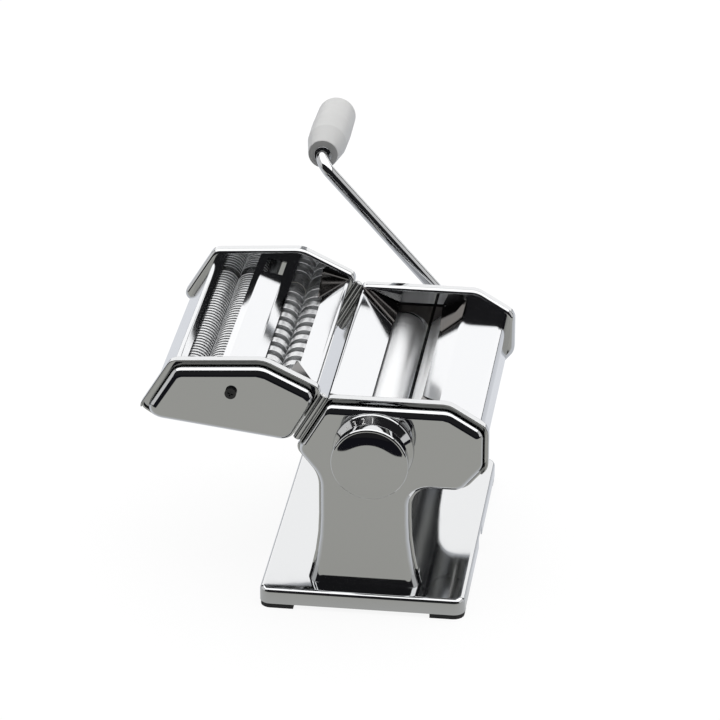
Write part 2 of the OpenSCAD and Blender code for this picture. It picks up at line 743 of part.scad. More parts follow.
// End guards: close the feed hopper over the roller ends, with a wing along each feed plate
wing_t = 0.8;
module wing(points) {
    hull() for (p = points) translate(p) cube(wing_t, center = true);
}
module end_guard() {
    lift = wing_t / 2 + pass_gap + 0.2;
    left = left_lip[0] + 0.5;
    right = right_lip[0] - pass_gap;
    low = roller_z + 4;
    back = -y_in + guard_t;
    prism_y(-y_in, back) difference() {
        polygon([[left, low], [right, low], [right, guard_top_z], [left, guard_top_z]]);
        for (a = [0, half_swing, knob_swing]) translate(idler_at(a)) circle(roller_r + 2 * pass_gap);
        translate(drive_axis) circle(roller_r + 2 * pass_gap);
    }
    wing([
        [left_crest[0] + 1, -y_in + wing_t / 2, left_crest[1] + lift],
        [left + wing_t / 2, back, guard_top_z - wing_t / 2],
        [left_lip[0] + wing_t, -y_in + left_wing_l, left_lip[1] + lift]
    ]);
    wing([
        [right - wing_t / 2, back, guard_top_z - wing_t / 2],
        [right_crease_x, -y_in + wing_t / 2, right_crease_z + right_wing_h],
        [right_crease_x - 1, -y_in + right_wing_short, right_crease_z + lift],
        [right_lip[0] + wing_t, -y_in + right_wing_l, right_lip[1] + lift + 0.4]
    ]);
}
module front_end_guard() { color(steel) at_head() end_guard(); }
module rear_end_guard() { color(steel) at_head() mirror([0, 1, 0]) end_guard(); }

// Tie rods between the inner plates and the screws in their ends
rod_screw_l = 9;
module rod_bar(p, r, hole_r) {
    difference() {
        rod_y(p, r, -y_in, y_in);
        both_ends() rod_y(p, hole_r, -y_in - 1, -y_in + rod_screw_l + 1);
    }
}
module rod_screw(p, r, head_r, head_h, y) {
    rod_y(p, r, -y, -y_in + rod_screw_l);
    rod_y(p, head_r, -y - head_h, -y);
}
module tie_rods() {
    color(steel) at_head() for (p = tie_rod_places)
        rod_bar(p, tie_rod_d / 2, screw_d / 2 + fit_gap);
}
module tie_rod_screws() {
    color(steel) at_head() both_ends() for (p = tie_rod_places)
        rod_screw(p, screw_d / 2, screw_head_d / 2, screw_head_h, y_out);
}

// Scrapers below the smooth rollers, held between the inner plates
scraper_t = 1.2;
scraper_off = 5;
module scraper(axis, side) {
    x = axis[0] + side * scraper_off;
    top = axis[1] - sqrt(pow(roller_r, 2) - pow(scraper_off - scraper_t / 2, 2)) - scraper_gap;
    prism_y(-y_in, y_in) translate([x - scraper_t / 2, top - scraper_h]) square([scraper_t, scraper_h]);
}
module left_scraper() { color(plastic) at_head() scraper(idler_axis, -1); }
module right_scraper() { color(plastic) at_head() scraper(drive_axis, 1); }

// Flanged plain bush in an end plate, its flange on the outer side of the plate
module plate_bush(axis, bore_r, wall) {
    difference() {
        union() {
            rod_y(axis, bore_r + wall, -y_out, -y_in);
            rod_y(axis, bore_r + wall + 1.4, -y_out - bush_flange_t, -y_out);
        }
        rod_y(axis, bore_r + run_gap, -y_out - bush_flange_t - 1, -y_in + 1);
    }
}
module drive_roller_bushes() {
    color(bronze) at_head() {
        plate_bush(drive_axis, journal_d / 2, bush_wall);
        mirror([0, 1, 0]) plate_bush(drive_axis, neck_d / 2, bush_wall);
    }
}
// Bushes of the adjusting shaft: one in the front plate, one in the rear cover
rear_bush_wall = 1.6;
rear_bush_y = y_back - 0.9;
module adjuster_bushes() {
    color(bronze) at_head() {
        plate_bush(knob_axis, adjuster_d / 2, bush_wall);
        difference() {
            union() {
                rod_y(knob_axis, stem_d / 2 + rear_bush_wall, y_back, y_face + 0.6);
                rod_y(knob_axis, stem_d / 2 + rear_bush_wall + 1.4, rear_bush_y, y_back);
            }
            rod_y(knob_axis, stem_d / 2 + run_gap, rear_bush_y - 1, y_face + 2);
        }
    }
}

// Things that run along the leaning edge: place a shape whose Z axis runs up the lean
module on_rail(out, along, y) {
    p = on_lean(out, along);
    translate([p[0], y, p[1]]) rotate([0, 90 - rail_angle, 0]) children();
}
// Beaded tongues on the head that carry the cutter, with a stop at the lower end
stop_t = 1.6;
module rail_section(d) {
    circle(d = d);
    translate([0, -tongue_t / 2]) square([rail_out, tongue_t]);
}
module guide_rails() {
    color(chrome) at_head() both_ends() {
        on_rail(rail_out, tube_low - stop_t, -rail_y) linear_extrude(stop_t) rail_section(tube_d);
        on_rail(rail_out, tube_low, -rail_y) linear_extrude(tube_l) rail_section(bead_d);
    }
}

// Blind socket for the crank: round, with a flat-sided bottom for the crank's tip
module crank_socket(axis) {
    r = rod_d / 2 + socket_gap;
    slot = tang_t + 2 * socket_gap;
    low = neck_end - socket_l;
    rod_y(axis, r, low + tang_l + 1, neck_end + 1);
    intersection() {
        rod_y(axis, r - tang_step, low, low + tang_l + 1.5);
        translate([axis[0] - slot / 2, low - 1, axis[1] - 2 * r]) cube([slot, tang_l + 4, 4 * r]);
    }
}

// Driven smooth roller, with a plain journal in front and the gear neck behind
module drive_roller() {
    color(satin) at_head() difference() {
        union() {
            rod_y(drive_axis, roller_r, -roller_end, roller_end);
            rod_y(drive_axis, journal_d / 2, -y_out - bush_flange_t - 1, -roller_end);
            rod_y(drive_axis, neck_d / 2, roller_end, neck_end);
        }
        turned_socket(drive_axis) crank_socket([0, 0]);
    }
}
// The socket's flats lie along the crank arm
module turned_socket(axis) {
    translate([axis[0], 0, axis[1]]) rotate([0, -crank_angle, 0]) children();
}
roller_pitch_r = (roller_d + nip_min) / 2;
roller_root_r = roller_pitch_r - roller_addendum - 0.35;
module roller_gear(axis, phase) {
    prism_y(gear_y, gear_end) translate(axis) difference() {
        rotate(phase) polygon(gear_outline(
            roller_teeth, roller_pitch_r, roller_pitch_r + roller_addendum, roller_root_r, backlash
        ));
        circle(neck_d / 2 + fit_gap);
    }
}
module drive_gear() {
    color(steel) at_head() roller_gear(drive_axis, 180 / roller_teeth);
}

// Crank: one bent rod, drawn with its arm along +X and then turned to its rest angle
arm_y = y_face + arm_off;
crank_tip = neck_end - socket_l + 1;
grip_y = arm_y + bend_r + 2;
grip_end = grip_y + grip_l;
grip_recess = 7;
rod_end = grip_end - grip_recess + 2.4;
module crank_frame() {
    at_head() translate([drive_x, 0, roller_z]) rotate([0, -crank_angle, 0]) children();
}
module rod_bend(x, y, a) {
    translate([x, y, 0]) rotate(a) rotate_extrude(angle = 90) translate([bend_r, 0]) circle(d = rod_d);
}
module crank_arm() {
    color(chrome) crank_frame() {
        rod_y([0, 0], rod_d / 2, crank_tip + tang_l, arm_y - bend_r);
        intersection() {
            rod_y([0, 0], rod_d / 2 - tang_step, crank_tip, crank_tip + tang_l);
            translate([-tang_t / 2, crank_tip - 1, -rod_d]) cube([tang_t, tang_l + 2, 2 * rod_d]);
        }
        rod_bend(bend_r, arm_y - bend_r, 90);
        translate([bend_r, arm_y, 0]) rotate([0, 90, 0])
            cylinder(d = rod_d, h = crank_r - 2 * bend_r);
        rod_bend(crank_r - bend_r, arm_y + bend_r, 270);
        rod_y([crank_r, 0], rod_d / 2, arm_y + bend_r, rod_end);
        rod_y([crank_r, 0], rod_d / 2 + 1.6, grip_y - 1.3, grip_y - pass_gap);
    }
}
// Washer that keeps the grip on the rod, inside the grip's outer end
module grip_washer() {
    y = grip_end - grip_recess + pass_gap;
    color(steel) crank_frame() ring_y([crank_r, 0], rod_d / 2 + fit_gap, rod_d / 2 + 2.6, y, y + 1.2);
}
// Plastic grip that turns on the end of the rod
module crank_grip() {
    r_end = grip_d / 2 - 0.8;
    tip = grip_end_r;
    color(plastic) crank_frame() translate([crank_r, grip_y, 0]) rotate([-90, 0, 0])
        difference() {
            rotate_extrude() polygon(concat(
                [[0, 0], [grip_inner_d / 2 - 0.6, 0], [grip_inner_d / 2, 0.6]],
                [[grip_waist_d / 2, grip_cone_l], [grip_d / 2, grip_l * 0.55]],
                [for (a = [0:18:90]) [r_end - tip, grip_l - tip] + tip * toward(a)],
                [[0, grip_l]]
            ));
            translate([0, 0, -1]) cylinder(d = rod_d + 2 * socket_gap, h = grip_l);
            translate([0, 0, grip_l - grip_recess]) cylinder(d = rod_d + 6.4, h = grip_recess + 1);
        }
}

// Adjusting shaft: an eccentric bar that carries the left roller, with a flatted stem for the knob
washer_t = 1;
stem_flat = stem_d / 2 - 1;
stem_end = y_face + knob_h - 7;
module stem_section(gap, y0, y1) {
    intersection() {
        rod_y(knob_axis, stem_d / 2 + gap, y0, y1);
        translate([knob_axis[0] - stem_d, y0 - 1, knob_axis[1] - stem_d])
            cube([stem_d + stem_flat + gap, y1 - y0 + 2, 2 * stem_d]);
    }
}
module adjuster_shaft() {
    color(steel) at_head() difference() {
        union() {
            stem_section(0, -stem_end, -y_face);
            rod_y(knob_axis, adjuster_d / 2, -y_face, -roller_end);
            rod_y(idler_axis, eccentric_d / 2, -roller_end, rear_bush_y - pass_gap);
            rod_y(knob_axis, stem_d / 2, rear_bush_y - pass_gap, y_face + 0.4);
        }
        rod_y(knob_axis, screw_d / 2 + fit_gap, -stem_end - 1, -stem_end + 9);
    }
}
module shaft_washer() {
    color(steel) at_head()
        ring_y(knob_axis, screw_d / 2 + screw_gap, 9, -stem_end - washer_t, -stem_end);
}
module shaft_screw() {
    color(steel) at_head() {
        rod_y(knob_axis, screw_d / 2, -stem_end - washer_t, -stem_end + 8);
        rod_y(knob_axis, screw_head_d / 2, -stem_end - washer_t - screw_head_h, -stem_end - washer_t);
    }
}

// Thickness knob: a domed skirt and a neck, with the spring chamber in front of its hub
skirt_off = 0.4;
cap_t = 3.4;
hub_d = 6.6;
chamber_r = 11;
neck_z = 9.5;
module knob_frame() {
    at_head() translate([knob_axis[0], -y_face, knob_axis[1]]) rotate([90, 0, 0]) children();
}
module thickness_knob() {
    body_h = knob_h - cap_t;
    dome = [
        for (a = [0:15:75])
            [knob_neck_d / 2 + (skirt_d - knob_neck_d) / 2 * cos(a), 2.4 + (neck_z - 2.4) * sin(a)]
    ];
    color(chrome) difference() {
        knob_frame() difference() {
            rotate_extrude() polygon(concat(
                [[0, skirt_off], [skirt_d / 2, skirt_off]],
                dome,
                [[knob_neck_d / 2, neck_z], [knob_neck_d / 2, neck_z + 3.5]],
                [[cap_d / 2 - 0.6, body_h - 1.6], [cap_d / 2 - 0.6, body_h], [0, body_h]]
            ));
            translate([0, 0, hub_d]) cylinder(r = chamber_r, h = knob_h);
            difference() {
                translate([0, 0, -1]) cylinder(r = knob_neck_d / 2 - 1.5, h = 5.5);
                translate([0, 0, -2]) cylinder(r = stem_d / 2 + 4, h = 8);
                rotate(index_start) translate([index_r, 0, -2]) cylinder(d = index_pin_d + 5.4, h = 8);
            }
            rotate(index_start) translate([index_r, 0, -1])
                cylinder(d = index_pin_d + 2 * fit_gap, h = hub_d - 0.6);
        }
        at_head() stem_section(run_gap, -y_face - hub_d - 1, -y_face + 1);
    }
}
// Cap pressed into the knob's chamber
module knob_cap() {
    body_h = knob_h - cap_t;
    edge = 1.4;
    rim_r = cap_d / 2 - edge;
    color(chrome) knob_frame() difference() {
        rotate_extrude() polygon(concat(
            [[0, body_h - 2.6], [chamber_r - fit_gap, body_h - 2.6], [chamber_r - fit_gap, body_h]],
            [[cap_d / 2, body_h]],
            [for (a = [0:20:80]) [rim_r, knob_h - cap_crown - edge] + edge * toward(a)],
            [for (k = [3:-1:0]) [rim_r * k / 4, knob_h - cap_crown * k * k / 16]]
        ));
        translate([0, 0, body_h - 3]) cylinder(r = chamber_r - 1.2, h = 3.6);
    }
}
// Pin in the back of the knob that finds the setting holes
module index_pin() {
    color(steel) knob_frame() rotate(index_start) translate([index_r, 0, 0.25])
        cylinder(d = index_pin_d, h = hub_d - 1.9);
}
// Spring that draws the knob against the cover, between its hub and the shaft's washer
function coil_ring(a, r, z, wire) = [
    for (k = [0:5]) let (q = r + wire * cos(60 * k)) [q * cos(a), q * sin(a), z + wire * sin(60 * k)]
];
module coil(r, z0, z1, wire, turns) {
    n = ceil(12 * turns);
    skin([for (k = [0:n]) coil_ring(360 * turns * k / n, r, z0 + (z1 - z0) * k / n, wire)]);
}
spring_low = hub_d + spring_wire_d / 2 + 0.1;
spring_high = stem_end - y_face - spring_wire_d / 2 - 0.1;
module knob_spring() {
    color(steel) knob_frame()
        coil(stem_d / 2 + 2.4, spring_low, spring_high, spring_wire_d / 2, spring_turns);
}

// Adjusted smooth roller: a hollow roller that runs on two bushes round the eccentric shaft
idler_bush_r = eccentric_d / 2 + bush_wall + run_gap;
idler_bore_end = roller_end - 2;
module idler_bushes() {
    l = roller_bush_l;
    color(bronze) at_head() {
        ring_y(idler_axis, eccentric_d / 2 + run_gap, idler_bush_r, -roller_end + 0.2, -roller_end + l);
        ring_y(
            idler_axis, eccentric_d / 2 + run_gap, idler_bush_r,
            idler_bore_end - l, idler_bore_end - 0.2
        );
    }
}
module idler_roller() {
    color(satin) at_head() difference() {
        union() {
            rod_y(idler_axis, roller_r, -roller_end, roller_end);
            rod_y(idler_axis, neck_d / 2, roller_end, gear_end + 0.2);
        }
        rod_y(idler_axis, idler_bush_r + run_gap, -roller_end - 1, idler_bore_end);
        rod_y(idler_axis, eccentric_d / 2 + pass_gap, idler_bore_end - 1, gear_end + 1);
    }
}
module idler_gear() {
    color(steel) at_head() roller_gear(idler_axis, 0);
}

// Cutter side plates: sheet with a flanged rim and bushed holes for the four rollers
cutter_rod_mid = corner + [-mid_rod_left, mid_rod_up];
cutter_rod_places = [
    corner + [-left_rod_left, -left_rod_down], corner + [-right_rod_left, -right_rod_down]
];
driven_side = -1;
module cutter_plate(neck_r) {
    hole = cutter_bush_wall + fit_gap;
    difference() {
        flanged_plate(cutter_outline, cutter_radii, top_z, top_z - cutter_l_down + 1);
        for (mid = [fine_mid, wide_mid]) {
            rod_y(of_pair(mid, driven_side), neck_r + hole, -y_out - 1, -y_in + 1);
            rod_y(of_pair(mid, -driven_side), cutter_journal_d / 2 + hole, -y_out - 1, -y_in + 1);
        }
        rod_y(cutter_rod_mid, cover_screw_d / 2 + screw_gap, -y_out - 1, -y_in + 1);
        for (p = cutter_rod_places)
            rod_y(p, cover_screw_d / 2 + screw_gap, -y_out - 1, -y_in + 1);
    }
}
module cutter_front_plate() { color(chrome) at_head() cutter_plate(cutter_journal_d / 2); }
module cutter_rear_plate() {
    color(chrome) at_head() mirror([0, 1, 0]) cutter_plate(cutter_neck_d / 2);
}

// Pressed covers over the cutter's side plates; the rear one opens over the two crank sockets
module cutter_cover() {
    difference() {
        pan(cutter_outline, cutter_cover_radii, cutter_cover_in, cutter_cover_roll);
        rod_y(cutter_rod_mid, cover_screw_d / 2 + screw_gap, -y_face - 1, -y_back + 1);
    }
}
module cutter_front_cover() { color(chrome) at_head() cutter_cover(); }
module cutter_rear_cover() {
    color(chrome) at_head() mirror([0, 1, 0]) difference() {
        cutter_cover();
        for (mid = [fine_mid, wide_mid])
            rod_y(of_pair(mid, driven_side), rod_d / 2 + 1, -y_face - 1, -y_back + 1);
    }
}

// Sheet covers that lead the dough into the two pairs of cutting rollers
cutter_lip_r = cutter_r + cutter_lip_gap;
function lip_at(mid, side, a) = of_pair(mid, side) + (cutter_lip_r + feed_t) * toward(a);
cutter_inner = inset(cutter_outline, [for (p = cutter_outline) plate_t + feed_inset - 1]);
module cutter_left_cover() {
    down = unit(cutter_inner[4] - cutter_inner[3]);
    color(chrome) at_head() prism_y(-y_in, y_in)
        polygon(bent_sheet(
            [lip_at(fine_mid, -1, 100), cutter_inner[3] + 1.5 * down, cutter_inner[4] - 2 * down],
            [2], feed_t
        ));
}
// Flat ridge between the two pairs, cut back at both ends
ridge_left = corner + [-ridge_l_left, ridge_l_up];
ridge_right = corner + [-ridge_r_left, ridge_r_up];
module cutter_centre_cover() {
    color(chrome) at_head() difference() {
        prism_y(-y_in, y_in) polygon(bent_sheet(
            [lip_at(wide_mid, -1, 94), ridge_right, ridge_left, lip_at(fine_mid, 1, 80)],
            [1.5, 1.5], feed_t
        ));
        both_ends() translate([ridge_left[0] + 1, -y_in - 1, ridge_right[1] - 2])
            cube([ridge_right[0] - ridge_left[0] - 2, ridge_cut + 1, 8]);
    }
}
right_ridge = on_lean(cutter_gap + 2.8, -1.2);
module cutter_right_cover() {
    color(chrome) at_head() prism_y(-y_in, y_in)
        polygon(bent_sheet(
            [right_ridge - right_fold_l * lean, right_ridge, lip_at(wide_mid, 1, 83)],
            [2], feed_t
        ));
}
// Wings that close the corners of the cutter's right cover
module cutter_end_guards() {
    lift = wing_t / 2 + pass_gap + 0.2;
    lip = lip_at(wide_mid, 1, 83);
    color(steel) at_head() both_ends() wing([
        [right_ridge[0] - 2, -y_in + wing_t / 2, right_ridge[1] + lift],
        [lip[0], -y_in + wing_t / 2, lip[1] + cutter_wing_h],
        [lip[0] + wing_t, -y_in + cutter_wing_l, lip[1] + lift]
    ]);
}

// Cutter tie rods, the screws inside the covers and the long screws through the covers
module cutter_tie_rods() {
    color(steel) at_head() for (p = concat([cutter_rod_mid], cutter_rod_places))
        rod_bar(p, cutter_rod_d / 2, cover_screw_d / 2 + fit_gap);
}
module cutter_rod_screws() {
    color(steel) at_head() both_ends() for (p = cutter_rod_places)
        rod_screw(p, cover_screw_d / 2, cover_screw_head_d / 2, screw_head_h, y_out);
}
module cutter_cover_screws() {
    color(dark) at_head() both_ends() difference() {
        rod_screw(cutter_rod_mid, cover_screw_d / 2, cover_screw_head_d / 2, screw_head_h, y_face);
        for (a = [0, 90]) translate([cutter_rod_mid[0], -y_face - screw_head_h, cutter_rod_mid[1]])
            rotate([0, a + 20, 0]) cube([cover_screw_d, screw_head_h, 0.8], center = true);
    }
}

// Combs whose teeth stand in the grooves below each cutting roller
comb_off = 4;
module comb(mid, side, pitch) {
    axis = of_pair(mid, side);
    x = axis[0] - side * comb_off - comb_t / 2;
    near = comb_off - comb_t / 2;
    bar_top = axis[1] - sqrt(pow(cutter_r + 2 * pass_gap, 2) - pow(near, 2));
    tip = axis[1] - sqrt(pow(cutter_r - groove_d + pass_gap, 2) - pow(near, 2));
    tooth = pitch / 2 - 2 * ring_gap;
    shift = side > 0 ? 0 : pitch / 2;
    n = ring_count(pitch);
    translate([x, -y_in, bar_top - comb_h]) cube([comb_t, 2 * y_in, comb_h]);
    for (k = [-n:n]) if (abs(k * pitch + shift) < roller_end - pitch)
        translate([x, k * pitch + shift - tooth / 2, bar_top - 0.5])
            cube([comb_t, tooth, tip - bar_top + 0.5]);
}
module fine_combs() { color(steel) at_head() for (side = [-1, 1]) comb(fine_mid, side, fine_pitch); }
module wide_combs() { color(steel) at_head() for (side = [-1, 1]) comb(wide_mid, side, wide_pitch); }

// Bushes for the cutting rollers
cutter_bush_wall = 1.2;
module cutter_bush(axis, bore_r) {
    difference() {
        union() {
            rod_y(axis, bore_r + cutter_bush_wall, -y_out, -y_in);
            rod_y(axis, bore_r + cutter_bush_wall + 0.8, -y_out - bush_flange_t, -y_out);
        }
        rod_y(axis, bore_r + run_gap, -y_out - bush_flange_t - 1, -y_in + 1);
    }
}
module cutter_bushes() {
    color(bronze) at_head() for (mid = [fine_mid, wide_mid]) {
        both_ends() cutter_bush(of_pair(mid, -driven_side), cutter_journal_d / 2);
        cutter_bush(of_pair(mid, driven_side), cutter_journal_d / 2);
        mirror([0, 1, 0]) cutter_bush(of_pair(mid, driven_side), cutter_neck_d / 2);
    }
}

// Slotted tubes on the cutter's edge that slide over the beads of the head
module cutter_slides() {
    slot = tongue_t + 2 * pass_gap;
    color(chrome) at_head() both_ends() on_rail(rail_out, tube_low, -rail_y) difference() {
        union() {
            cylinder(d = tube_d, h = tube_l);
            translate([-(cutter_gap - rail_out), -tongue_t / 2, 0])
                cube([cutter_gap - rail_out - tube_d / 2 + tube_wall / 2, tongue_t, tube_l]);
        }
        translate([0, 0, -1]) cylinder(d = tube_d - 2 * tube_wall, h = tube_l + 2);
        translate([0, -slot / 2, -1]) cube([tube_d, slot, tube_l + 2]);
    }
}

// Cutting roller: rings and grooves turned in one bar; the right one of a pair is half a pitch on
function ring_count(pitch) = floor((roller_end - pitch) / pitch);
module cutting_bar(axis, pitch, shift, front_r, rear_r, rear_end) {
    core = cutter_r - groove_d;
    half = pitch / 4 - ring_gap / 2;
    n = ring_count(pitch);
    rings = [for (k = [-n:n]) if (abs(k * pitch + shift) < roller_end - pitch / 2) k * pitch + shift];
    translate([axis[0], 0, axis[1]]) rotate([-90, 0, 0]) rotate_extrude() polygon(concat(
        [[0, -y_out - bush_flange_t - 1], [front_r, -y_out - bush_flange_t - 1], [front_r, -roller_end]],
        [[core, -roller_end]],
        [
            for (y = rings)
                each [[core, y - half], [cutter_r, y - half], [cutter_r, y + half], [core, y + half]]
        ],
        [[core, roller_end], [rear_r, roller_end], [rear_r, rear_end], [0, rear_end]]
    ));
}
module driven_cutter(mid, pitch) {
    axis = of_pair(mid, driven_side);
    color(satin) at_head() difference() {
        cutting_bar(axis, pitch, 0, cutter_journal_d / 2, cutter_neck_d / 2, neck_end);
        crank_socket(axis);
    }
}
module follower_cutter(mid, pitch) {
    r = cutter_journal_d / 2;
    color(satin) at_head() cutting_bar(of_pair(mid, -driven_side), pitch, pitch / 2, r, r, gear_end + 0.3);
}
module fine_cutter_left() { driven_cutter(fine_mid, fine_pitch); }
module fine_cutter_right() { follower_cutter(fine_mid, fine_pitch); }
module wide_cutter_left() { driven_cutter(wide_mid, wide_pitch); }
module wide_cutter_right() { follower_cutter(wide_mid, wide_pitch); }

// Meshing gears on the rear ends of the cutting rollers
module cutter_gear(axis, phase, bore_r) {
    color(steel) at_head() prism_y(gear_y, gear_end) translate(axis) difference() {
        rotate(phase) polygon(gear_outline(
            cutter_teeth, cutter_pitch_r, cutter_pitch_r + cutter_addendum,
            cutter_pitch_r - cutter_addendum - pass_gap, backlash / 2
        ));
        circle(bore_r + fit_gap);
    }
}
module gear_on_driven(mid) { cutter_gear(of_pair(mid, driven_side), 0, cutter_neck_d / 2); }
module gear_on_follower(mid) {
    cutter_gear(of_pair(mid, -driven_side), 180 / cutter_teeth, cutter_journal_d / 2);
}
module fine_gear_left() { gear_on_driven(fine_mid); }
module fine_gear_right() { gear_on_follower(fine_mid); }
module wide_gear_left() { gear_on_driven(wide_mid); }
module wide_gear_right() { gear_on_follower(wide_mid); }

base_tray();
rubber_feet();
clamp_socket();
base_screws();
base_nuts();
front_inner_plate();
rear_inner_plate();
front_side_cover();
rear_side_cover();
left_feed_plate();
right_feed_cover();
front_end_guard();
rear_end_guard();
tie_rods();
tie_rod_screws();
left_scraper();
right_scraper();
drive_roller_bushes();
adjuster_bushes();
guide_rails();
drive_roller();
drive_gear();
crank_arm();
grip_washer();
crank_grip();
adjuster_shaft();
shaft_washer();
shaft_screw();
thickness_knob();
knob_cap();
index_pin();
knob_spring();
idler_bushes();
idler_roller();
idler_gear();
cutter_front_plate();
cutter_rear_plate();
cutter_front_cover();
cutter_rear_cover();
cutter_left_cover();
cutter_centre_cover();
cutter_right_cover();
cutter_end_guards();
cutter_tie_rods();
cutter_rod_screws();
cutter_cover_screws();
fine_combs();
wide_combs();
cutter_bushes();
cutter_slides();
fine_cutter_left();
fine_cutter_right();
fine_gear_left();
fine_gear_right();
wide_cutter_left();
wide_cutter_right();
wide_gear_left();
wide_gear_right();
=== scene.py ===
from math import atan2, ceil, cos, pi, radians, sin, tan

import bmesh
import bpy
from mathutils import Matrix, Vector


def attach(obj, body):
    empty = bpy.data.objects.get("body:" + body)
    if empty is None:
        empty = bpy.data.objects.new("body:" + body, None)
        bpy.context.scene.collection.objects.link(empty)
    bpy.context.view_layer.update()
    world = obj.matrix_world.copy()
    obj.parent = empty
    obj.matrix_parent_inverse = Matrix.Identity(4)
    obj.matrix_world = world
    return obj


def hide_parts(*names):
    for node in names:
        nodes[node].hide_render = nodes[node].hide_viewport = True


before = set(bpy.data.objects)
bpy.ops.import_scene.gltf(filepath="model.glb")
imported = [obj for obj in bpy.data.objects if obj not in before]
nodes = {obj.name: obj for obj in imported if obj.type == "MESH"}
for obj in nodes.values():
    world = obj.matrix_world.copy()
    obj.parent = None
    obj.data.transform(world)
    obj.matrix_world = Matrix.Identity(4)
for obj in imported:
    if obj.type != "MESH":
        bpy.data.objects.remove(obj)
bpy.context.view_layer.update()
scene = bpy.context.scene

# Camera: stands in front of the machine, a little to its right and above it, with a long lens as for a
# catalogue picture.
turn, tilt = radians(7.5), radians(26.04)
distance, focal_length, sensor, reach = 2.495, 199.9, 36, 30
deck_middle, aim_left, aim_up = Vector((0, 0.003, 0.013)), 0.01336, 0.09886
across = Vector((cos(turn), sin(turn), 0))
ahead = Vector((-sin(turn) * cos(tilt), cos(turn) * cos(tilt), -sin(tilt)))
above = across.cross(ahead)
aim = deck_middle - aim_left * across + aim_up * above
lens = bpy.data.cameras.new("camera")
lens.lens, lens.sensor_width, lens.clip_end = focal_length, sensor, reach
camera = bpy.data.objects.new("camera", lens)
turned_to = Matrix((across, above, -ahead)).transposed().to_4x4()
camera.matrix_world = Matrix.Translation(aim - distance * ahead) @ turned_to
scene.collection.objects.link(camera)
scene.camera = camera
scene.view_settings.view_transform = "Standard"

# Studio: a pale floor that glows white to the camera. In reflections and bounced light it shows painted
# shade: grey towards the viewer and near black further out, for the dim front of the room. A wide soft
# light overhead, a bright panel behind and weak panels at the sides. The front of the room is dim.
room_front, card_share, floor_half = -0.7, 0.9, 6


def paint(name, values):
    """A new material with constant values on its shader; gives it with its node tree and shader."""
    mat = bpy.data.materials.new(name)
    mat.use_nodes = True
    shader = mat.node_tree.nodes["Principled BSDF"]
    for key, value in values.items():
        shader.inputs[key].default_value = (*value, 1) if isinstance(value, tuple) else value
    return mat, mat.node_tree, shader


floor_paint, tree, shader = paint("floor_card", {"Roughness": 0.9, "Specular IOR Level": 0.0})
spot = tree.nodes.new("ShaderNodeTexCoord")
split = tree.nodes.new("ShaderNodeSeparateXYZ")
fade = tree.nodes.new("ShaderNodeMapRange")
fade.inputs["From Min"].default_value = room_front
fade.inputs["From Max"].default_value = 0
painted_shade_ramp = tree.nodes.new("ShaderNodeValToRGB")
# Painted shade: the floor as reflections and bounced light see it. It is near black beyond 0.46 m in front,
# mid grey from there to 0.12 m, and pale behind. The camera sees it white.
painted_shade_stops = (
    (-0.46, (0.01, 0.01, 0.014)), (-0.44, (0.5, 0.5, 0.47)), (-0.12, (0.5, 0.5, 0.47)),
    (-0.03, (0.76, 0.78, 0.82)))
for i, (y, colour) in enumerate(painted_shade_stops):
    stop = painted_shade_ramp.color_ramp.elements[i] if i < 2 else painted_shade_ramp.color_ramp.elements.new(1)
    stop.position = 1 - y / room_front
    stop.color = (*colour, 1)
ray = tree.nodes.new("ShaderNodeLightPath")
white = tree.nodes.new("ShaderNodeVectorMath")
white.operation = "MAXIMUM"
seen, shown, share = (tree.nodes.new("ShaderNodeMath") for i in range(3))
seen.operation, shown.operation, share.operation = "MAXIMUM", "MAXIMUM", "MULTIPLY"
share.inputs[1].default_value = card_share
# The floor's glow shows white to the camera and carries the painted shade into reflections.
card = tree.nodes.new("ShaderNodeEmission")
mixed = tree.nodes.new("ShaderNodeMixShader")
for start, finish in (
        (spot.outputs["Object"], split.inputs[0]), (split.outputs["Y"], fade.inputs["Value"]),
        (fade.outputs["Result"], painted_shade_ramp.inputs["Fac"]), (painted_shade_ramp.outputs["Color"], white.inputs[0]),
        (ray.outputs["Is Camera Ray"], white.inputs[1]), (white.outputs["Vector"], card.inputs["Color"]),
        (white.outputs["Vector"], shader.inputs["Base Color"]),
        (ray.outputs["Is Camera Ray"], seen.inputs[0]), (ray.outputs["Is Glossy Ray"], seen.inputs[1]),
        (seen.outputs[0], shown.inputs[0]), (ray.outputs["Is Transmission Ray"], shown.inputs[1]),
        (shown.outputs[0], share.inputs[0]), (share.outputs[0], mixed.inputs["Fac"]),
        (shader.outputs[0], mixed.inputs[1]), (card.outputs[0], mixed.inputs[2]),
        (mixed.outputs[0], tree.nodes["Material Output"].inputs["Surface"])):
    tree.links.new(start, finish)
bm = bmesh.new()
bmesh.ops.create_grid(bm, x_segments=1, y_segments=1, size=floor_half)
mesh = bpy.data.meshes.new("floor")
bm.to_mesh(mesh)
bm.free()
mesh.materials.append(floor_paint)
floor = bpy.data.objects.new("floor", mesh)
scene.collection.objects.link(floor)


def soft_light(name, place, target, width, height, glow):
    """A rectangular soft light of even brightness, turned towards a target."""
    lamp = bpy.data.lights.new(name, "AREA")
    lamp.shape, lamp.size, lamp.size_y = "RECTANGLE", width, height
    lamp.energy = glow * pi * width * height
    obj = bpy.data.objects.new(name, lamp)
    facing = (Vector(target) - Vector(place)).to_track_quat("-Z", "Y")
    obj.matrix_world = Matrix.Translation(place) @ facing.to_matrix().to_4x4()
    obj.visible_camera = False
    scene.collection.objects.link(obj)


